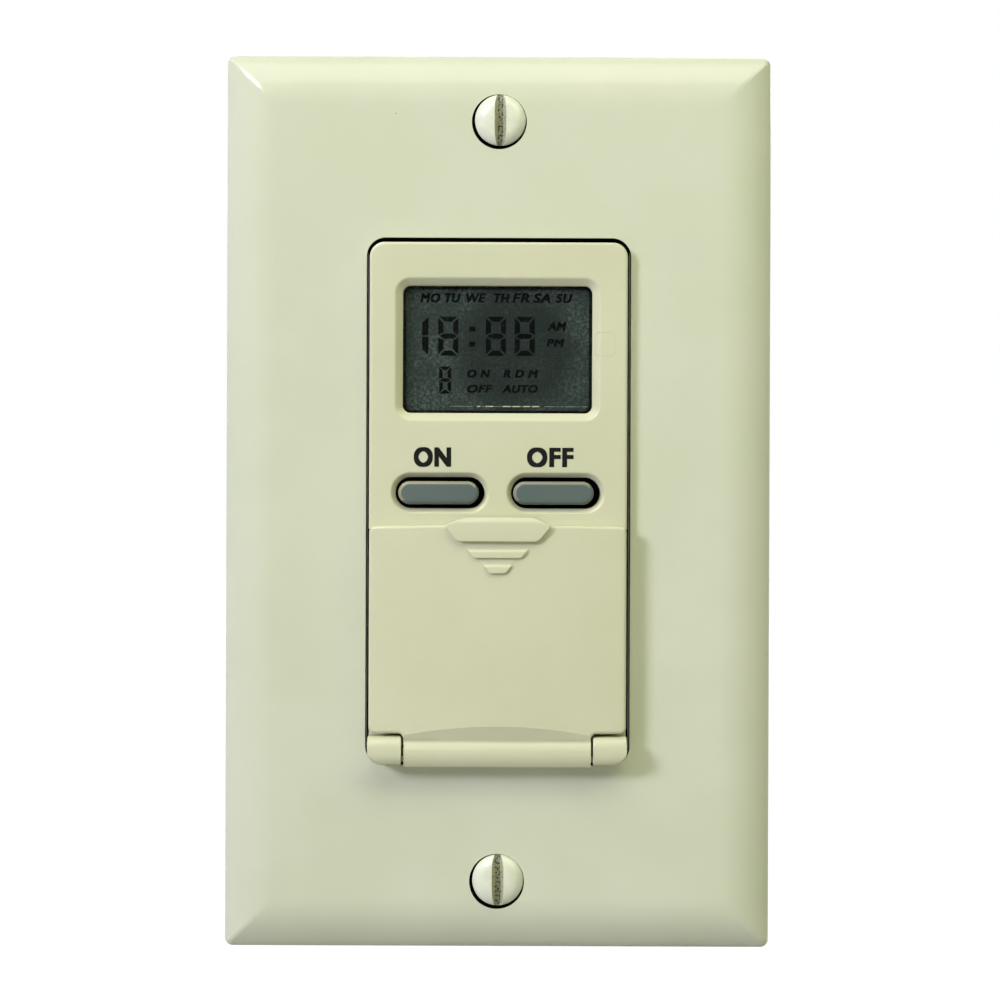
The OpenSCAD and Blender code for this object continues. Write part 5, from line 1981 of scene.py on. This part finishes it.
@dataclass
class PushButtons:
    """The grey ON and OFF buttons and the black words above them."""

    cap: Outline = Outline.even(10.25, 2.95, 1.475, 0, 1.1)
    spots: dict[str, tuple[Body, float]] = field(
        default_factory=lambda: {"on": (Body.ON_PUSH, -7.55), "off": (Body.OFF_PUSH, 7.03)}
    )
    edge: float = 0.55
    skirt_low: float = 5.38
    flange_grow: float = 1.0
    flange_t: float = 0.8
    stem_r: float = 1.4
    sheen_tilt: Point = (0.2, 0.96)
    sheen_turn: float = -0.1
    shade_below: float = 0.4
    words: Sequence[tuple[str, float, float]] = (("ON", -8.34, 4.74), ("OFF", 6.62, 5.91))
    word_y: float = 5.63
    word_h: float = 2.52
    word_weight: float = 0.32
    word_sunk: float = 0.01
    panel: float = PANEL_OUT
    ink: float = 0.025

    def build(self) -> None:
        """Builds both buttons and their words."""
        for name, (body, x) in self.spots.items():
            self.button(name, body, x)
        words = Bench()
        for text, x, width in self.words:
            box = Outline.even(width, self.word_h, 0, x, self.word_y)
            words.words(text, box, self.panel - self.word_sunk, self.panel + self.ink, 0, self.word_weight)
        words.piece("button_words", Body.DEVICE, "black_plastic", PRINT_BLACK)

    def button(self, name: str, body: Body, x: float) -> None:
        """Builds one button: pill cap, flange behind the panel and stem, painted black below the panel as
        shade.

        Args:
            name: The button's name.
            body: The body that it rides on.
            x: Its place across the panel.
        """
        low, high = bench_box(f"{name}_button")
        bench = Bench()
        cap = replace(self.cap, x=x)
        bench.slab(cap, self.skirt_low, high.z, self.edge)
        flange_low = self.skirt_low - self.flange_t
        bench.slab(cap.grow(self.flange_grow), flange_low, self.skirt_low, SMALL_EDGE)
        bench.slab(Outline.circle(self.stem_r, x, cap.y), low.z, flange_low, SMALL_EDGE)
        bench.face_outwards()
        # The upper rim of each cap is painted pale as a highlight.
        bench.paint(2, self.on_rim)
        # Below the panel the button is painted black as shade, so the well round the cap looks deep.
        bench.paint(1, lambda side: side.calc_center_median().z < self.panel - self.shade_below)
        finishes = (BUTTON_GREY, BUTTON_SHADE_BLACK, BUTTON_RIM_SHEEN)
        bench.piece(f"{name}_button_cap", body, "button_grey", *finishes, nodes=[f"{name}_button"])

    def on_rim(self, side: bmesh.types.BMFace) -> bool:
        """Tells whether a face of a button lies on the upper, left-facing rim that is painted pale as a
        highlight.
        """
        low, high = self.sheen_tilt
        return low < side.normal.z < high and side.normal.y - side.normal.x > self.sheen_turn


@dataclass
class KeyDeck:
    """What the door covers: six keys, the reset pin, the battery cap and the printed words."""

    keys: dict[str, tuple[Body, str]] = field(
        default_factory=lambda: {
            "day": (Body.DAY_PUSH, "DAY"),
            "hour": (Body.HOUR_PUSH, "HOUR"),
            "minute": (Body.MINUTE_PUSH, "MIN"),
            "mode": (Body.MODE_PUSH, "MODE"),
            "program": (Body.PROGRAM_PUSH, "PROG"),
            "clock": (Body.CLOCK_PUSH, "CLOCK"),
        }
    )
    corner: float = 0.8
    lip: float = 0.8
    edge: float = 0.45
    flange_top: float = 3.6
    flange_t: float = 0.8
    stem_r: float = 1.4
    word_h: float = 0.95
    letter_w: float = 0.92
    word_weight: float = 0.053
    word_sunk: float = 0.01
    ink: float = 0.02
    dish_depth: float = 0.25
    dish_foot: Point = (0.45, 0.2)
    pin_ease: Point = (0.1, 0.15)
    pin_edge: float = 0.1
    cap_spot: Point = BATTERY_SPOT
    cap_r: float = 7.8
    cap_sunk: float = 0.15
    rim_span: Point = (1.1, 0.9)
    cap_edges: Sequence[float] = (0.08, 0.08, 0.25, 0.1)
    coin_slot: Outline = Outline.even(11, 1.6, 0.8, *BATTERY_SPOT)
    slot_depth: float = 0.9
    slot_over: float = 1.0
    slot_edge: float = 0.06
    slot_band: float = 0.4
    lug_w: float = 3.2
    lug_t: float = 0.7
    lug_sunk: float = 0.6
    lug_corner: float = 0.2
    lug_edge: float = 0.1

    def build(self) -> None:
        """Builds the keys, the pin, the cap and the words."""
        for name, (body, word) in self.keys.items():
            self.key(name, body, word)
        self.reset_pin()
        self.battery_cap()

    def key(self, name: str, body: Body, word: str) -> None:
        """Builds one key with its word on top.

        Args:
            name: The key's name.
            body: The body that it rides on.
            word: The word.
        """
        low, high = bench_box(f"{name}_key")
        flange = Outline.span(low.x, high.x, low.y, high.y, (self.corner,) * 4)
        cap = replace(flange.grow(-self.lip), corners=(self.corner,) * 4)
        bench = Bench()
        bench.slab(cap, self.flange_top, high.z, self.edge)
        under = self.flange_top - self.flange_t
        bench.slab(flange, under, self.flange_top, SMALL_EDGE)
        bench.slab(Outline.circle(self.stem_r, flange.x, flange.y), low.z, under, SMALL_EDGE)
        bench.piece(f"{name}_key_cap", body, "key_grey", KEY_GREY, nodes=[f"{name}_key"])
        letters = Bench()
        box = Outline.even(self.letter_w * len(word), self.word_h, 0, cap.x, cap.y)
        letters.words(word, box, high.z - self.word_sunk, high.z + self.ink, 0, self.word_weight)
        letters.piece(f"{name}_key_word", body, "black_plastic", PRINT_BLACK)

    def reset_pin(self) -> None:
        """Builds the recessed reset pin with its dished end."""
        low, high = bench_box("reset_button")
        x, y = (low.x + high.x) / 2, (low.y + high.y) / 2
        radius = (high.x - low.x) / 2
        pin = radius - self.lip
        under = self.flange_top - self.flange_t
        points = [
            (0, high.z - self.dish_depth),
            (pin * self.dish_foot[0], high.z - self.dish_foot[1]),
            (pin - self.pin_ease[0], high.z),
            (pin, high.z - self.pin_ease[1]),
            (pin, self.flange_top),
            (radius, self.flange_top),
            (radius, under),
            (pin, under),
            (pin, low.z),
            (0, low.z),
        ]
        edges = [self.pin_edge] + [SMALL_EDGE] * (len(points) - 3)
        bench = Bench()
        bench.lathe(soften(points, edges), Matrix.Translation((x, y, 0)))
        bench.piece("reset_pin", Body.RESET_PUSH, "key_grey", KEY_GREY, nodes=["reset_button"])

    def battery_cap(self) -> None:
        """Builds the quarter-turn cap with its coin slot, bayonet lugs and turned rim."""
        low, high = bench_box("battery_cap")
        x, y = self.cap_spot
        rim_foot, rim_top = (self.cap_r - inwards for inwards in self.rim_span)
        points = [
            (0, high.z - self.cap_sunk),
            (rim_foot, high.z - self.cap_sunk),
            (rim_top, high.z),
            (self.cap_r, high.z),
            (self.cap_r, low.z),
            (0, low.z),
        ]
        bench = Bench()
        bench.lathe(soften(points, self.cap_edges), Matrix.Translation((x, y, 0)))
        blade = Bench()
        blade.slab(self.coin_slot, high.z - self.slot_depth, high.z + self.slot_over, SMALL_EDGE)
        bench.join(blade, Join.TAKE)
        bench.soften_edges(self.slot_edge, lambda middle: middle.z > high.z - self.slot_band)
        reach, root = (high.y - low.y) / 2, self.cap_r - self.lug_sunk
        for low_y, high_y in ((-reach, -root), (root, reach)):
            lug = rectangle(x - self.lug_w / 2, x + self.lug_w / 2, y + low_y, y + high_y)
            bench.prism(lug, low.z, low.z + self.lug_t, self.lug_corner, self.lug_edge)
        bench.piece("battery_cap_disc", Body.BATTERY_DOOR, "key_grey", KEY_GREY, nodes=["battery_cap"])


@dataclass
class RoundedPart:
    """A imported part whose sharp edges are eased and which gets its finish."""

    node: str
    slot: str
    finish: Finish
    edge: float

    def build(self) -> None:
        """Builds the eased copy."""
        bench = Bench.from_node(self.node)
        bench.soften_edges(self.edge)
        eased = bench.piece(f"{self.node}_eased", Body.DEVICE, self.slot, self.finish, nodes=[self.node])
        shading = eased.modifiers.new("even_shading", "WEIGHTED_NORMAL")
        shading.keep_sharp = True


@dataclass
class InnerWorks:
    """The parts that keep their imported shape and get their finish."""

    finishes: dict[str, Finish] = field(
        default_factory=lambda: {
            "display_holder": HOLDER_WHITE,
            "zebra_strips": RUBBER,
            # Blackened steel, kept dark so that the gaps beside the barrel read as painted shade.
            "hinge_pin": DARK_STEEL,
            "switch_bodies": BLACK_PLASTIC,
            "coin_cell": CELL_STEEL,
            "battery_holder": BLACK_PLASTIC,
            "battery_contacts": BRASS,
            "control_board": BOARD_GREEN,
            "microcontroller": BLACK_PLASTIC,
            "clock_crystal": CELL_STEEL,
            "header_strip": BLACK_PLASTIC,
            "header_pins": BRASS,
            "power_board": BOARD_GREEN,
            "relay_base": BLACK_PLASTIC,
            "relay_cover": RELAY_BLUE,
            "relay_coil": COIL_COPPER,
            "relay_yoke": ZINC_STEEL,
            "relay_armature": ZINC_STEEL,
            "relay_contacts": BRASS,
            "film_capacitor": FILM_YELLOW,
            "smoothing_capacitor": CAN_SLEEVE,
            "surge_varistor": VARISTOR_BLUE,
            "board_spacers": ZINC_STEEL,
            "board_screws": ZINC_STEEL,
        }
    )
    plungers: Sequence[str] = ("on", "off", "reset", "day", "hour", "minute", "mode", "program", "clock")

    def build(self) -> None:
        """Dresses every part."""
        plungers = {f"{name}_plunger": BLACK_PLASTIC for name in self.plungers}
        for node, finish in (self.finishes | plungers).items():
            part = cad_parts[node]
            part.data.materials.clear()
            part.data.materials.append(material_of(finish))
            log.info("%s: dressed in %s", node, finish.name)


@dataclass(frozen=True)
class Lamp:
    """A soft rectangular lamp that points at the plate's centre, in metres and watts."""

    name: str
    place: Triple
    power: float
    size: Point
    tint: Colour = (1.0, 1.0, 1.0)
    lights: bool = True
    shines: bool = True

    def build(self) -> None:
        """Hangs the lamp, which lights matt surfaces, shines in glossy ones, or does both."""
        data = bpy.data.lights.new(self.name, "AREA")
        data.shape = "RECTANGLE"
        data.size, data.size_y = self.size
        data.energy = self.power
        data.color = self.tint
        lamp = bpy.data.objects.new(self.name, data)
        lamp.location = self.place
        lamp.visible_diffuse = self.lights
        lamp.visible_glossy = self.shines
        lamp.rotation_mode = "QUATERNION"
        lamp.rotation_quaternion = (-Vector(self.place)).to_track_quat("-Z", "Y")
        bpy.context.scene.collection.objects.link(lamp)


@dataclass
class Studio:
    """Camera, lamps, floor and white surroundings, set out in metres."""

    distance: float = 0.340
    pixels_per_mm: float = 7.785
    scale_out: float = 0.003
    image: float = 1000.0
    sensor: float = 36.0
    middle: Point = (498.0, 501.6)
    roll_deg: float = 0.215
    floor_size: float = 3.0
    floor_rough: float = 0.9
    floor_glow: float = 1.2
    floor_white: float = 0.85
    ambient: float = 0.08
    ambient_tint: Colour = (0.2, 0.2, 0.05)
    ambient_fade: Point = (-0.4, 0.2)
    lamps: Sequence[Lamp] = (
        Lamp("key", (-0.94, -0.80, 0.48), 11.4, (0.3, 0.3), (1.0, 0.995, 1.24), shines=False),
        Lamp("front_top", (0.0, -0.40, 0.50), 1.35, (0.6, 0.3), (0.98, 1.0, 0.66), shines=False),
        Lamp("overhead", (0.0, -0.24, 0.45), 0.9, (0.6, 0.28), (1.04, 1.0, 1.02)),
        Lamp("top_right", (0.35, -0.25, 0.35), 0.6, (0.25, 0.25), (0.96, 1.0, 0.55)),
        Lamp("glint", (-0.31, -0.46, 0.385), 4.0, (0.26, 0.26), lights=False),
        Lamp("behind", (0.35, 0.60, 0.40), 3.0, (0.5, 0.5)),
    )

    def build(self) -> None:
        """Sets the whole stage."""
        self.camera()
        self.floor()
        self.world()
        for lamp in self.lamps:
            lamp.build()
        bpy.context.scene.view_settings.view_transform = "Standard"

    def camera(self) -> None:
        """Places the camera square in front of the plate, as the photograph was taken."""
        data = bpy.data.cameras.new("camera")
        data.sensor_width = self.sensor
        focal = self.pixels_per_mm / MM * (self.distance - self.scale_out)
        data.lens = self.sensor * focal / self.image
        camera = bpy.data.objects.new("camera", data)
        half = self.image / 2
        across = (half - self.middle[0]) * MM / self.pixels_per_mm
        up = (self.middle[1] - half) * MM / self.pixels_per_mm
        camera.location = (across, -self.distance, up)
        camera.rotation_euler = (math.radians(90), math.radians(-self.roll_deg), 0)
        bpy.context.scene.collection.objects.link(camera)
        bpy.context.scene.camera = camera

    def floor(self) -> None:
        """Lays a pale floor under the plate, nearly white to the camera, that keeps a faint shadow."""
        data = bmesh.new()
        bmesh.ops.create_grid(data, x_segments=1, y_segments=1, size=self.floor_size / 2)
        bmesh.ops.translate(data, verts=data.verts, vec=(0, 0, cad_box[0].z))
        mesh = bpy.data.meshes.new("floor")
        data.to_mesh(mesh)
        data.free()
        floor = bpy.data.objects.new("floor", mesh)
        bpy.context.scene.collection.objects.link(floor)
        graph = Surface("floor_white")
        graph.finish({"Base Color": Shade.PALE.value, "Roughness": self.floor_rough})
        glow = graph.node("ShaderNodeEmission", None, {0: Shade.WHITE.value, 1: self.floor_glow})
        share = self.seen(graph) * self.floor_white
        blend = graph.node(
            "ShaderNodeMixShader", None, {0: share, 1: graph.shader.outputs[0], 2: glow.outputs[0]}
        )
        graph.feed(graph.output.inputs[0], blend.outputs[0])
        mesh.materials.append(graph.material)

    def seen(self, graph: Graph) -> Value:
        """Tells apart what the camera sees, straight or by way of gloss and glass.

        Args:
            graph: The graph that asks.

        Returns:
            1 for what it sees and 0 for the rest.
        """
        path = graph.node("ShaderNodeLightPath")
        kinds = ("Camera", "Glossy", "Transmission")
        camera, glossy, transmission = (Value(graph, path.outputs[f"Is {kind} Ray"]) for kind in kinds)
        return camera.larger(glossy).larger(transmission)

    def world(self) -> None:
        """Surrounds the scene with soft light that the camera sees as white."""
        world = bpy.data.worlds.new("white_studio")
        world.use_nodes = True
        graph = Graph(world.node_tree)
        toward = graph.node("ShaderNodeTexCoord").outputs["Generated"]
        parts = graph.node("ShaderNodeSeparateXYZ", None, {0: toward})
        depth = Value(graph, parts.outputs["Y"])
        seen = self.seen(graph)
        fade = depth.between(*self.ambient_fade)
        warm = graph.mix(fade, (*self.ambient_tint, 1.0), Shade.WHITE.value)
        tint = graph.mix(seen, warm, Shade.WHITE.value)
        level = self.ambient + seen * (1 - self.ambient)
        back = graph.node("ShaderNodeBackground", None, {0: tint, 1: level})
        graph.node("ShaderNodeOutputWorld", None, {0: back.outputs[0]})
        bpy.context.scene.world = world


def main() -> None:
    """Builds every sub-assembly in order."""
    logging.basicConfig(level=logging.INFO, format="%(name)s %(message)s")
    sub_assemblies = [
        Studio(),
        WallPlate(),
        PlateScrews(),
        FrontBezel(),
        AccessDoor(),
        Display(),
        PushButtons(),
        KeyDeck(),
        RoundedPart("mounting_strap", "steel", ZINC_STEEL, 0.12),
        RoundedPart("ground_screw", "ground_green", GROUND_GREEN, 0.12),
        RoundedPart("rear_housing", "housing_black", HOUSING_BLACK, 0.2),
        RoundedPart("housing_screws", "steel", ZINC_STEEL, 0.06),
        RoundedPart("terminal_plates", "brass", BRASS, 0.08),
        RoundedPart("terminal_screws", "brass", BRASS, 0.1),
        InnerWorks(),
    ]
    for sub_assembly in sub_assemblies:
        sub_assembly.build()


if __name__ == "__main__":
    main()
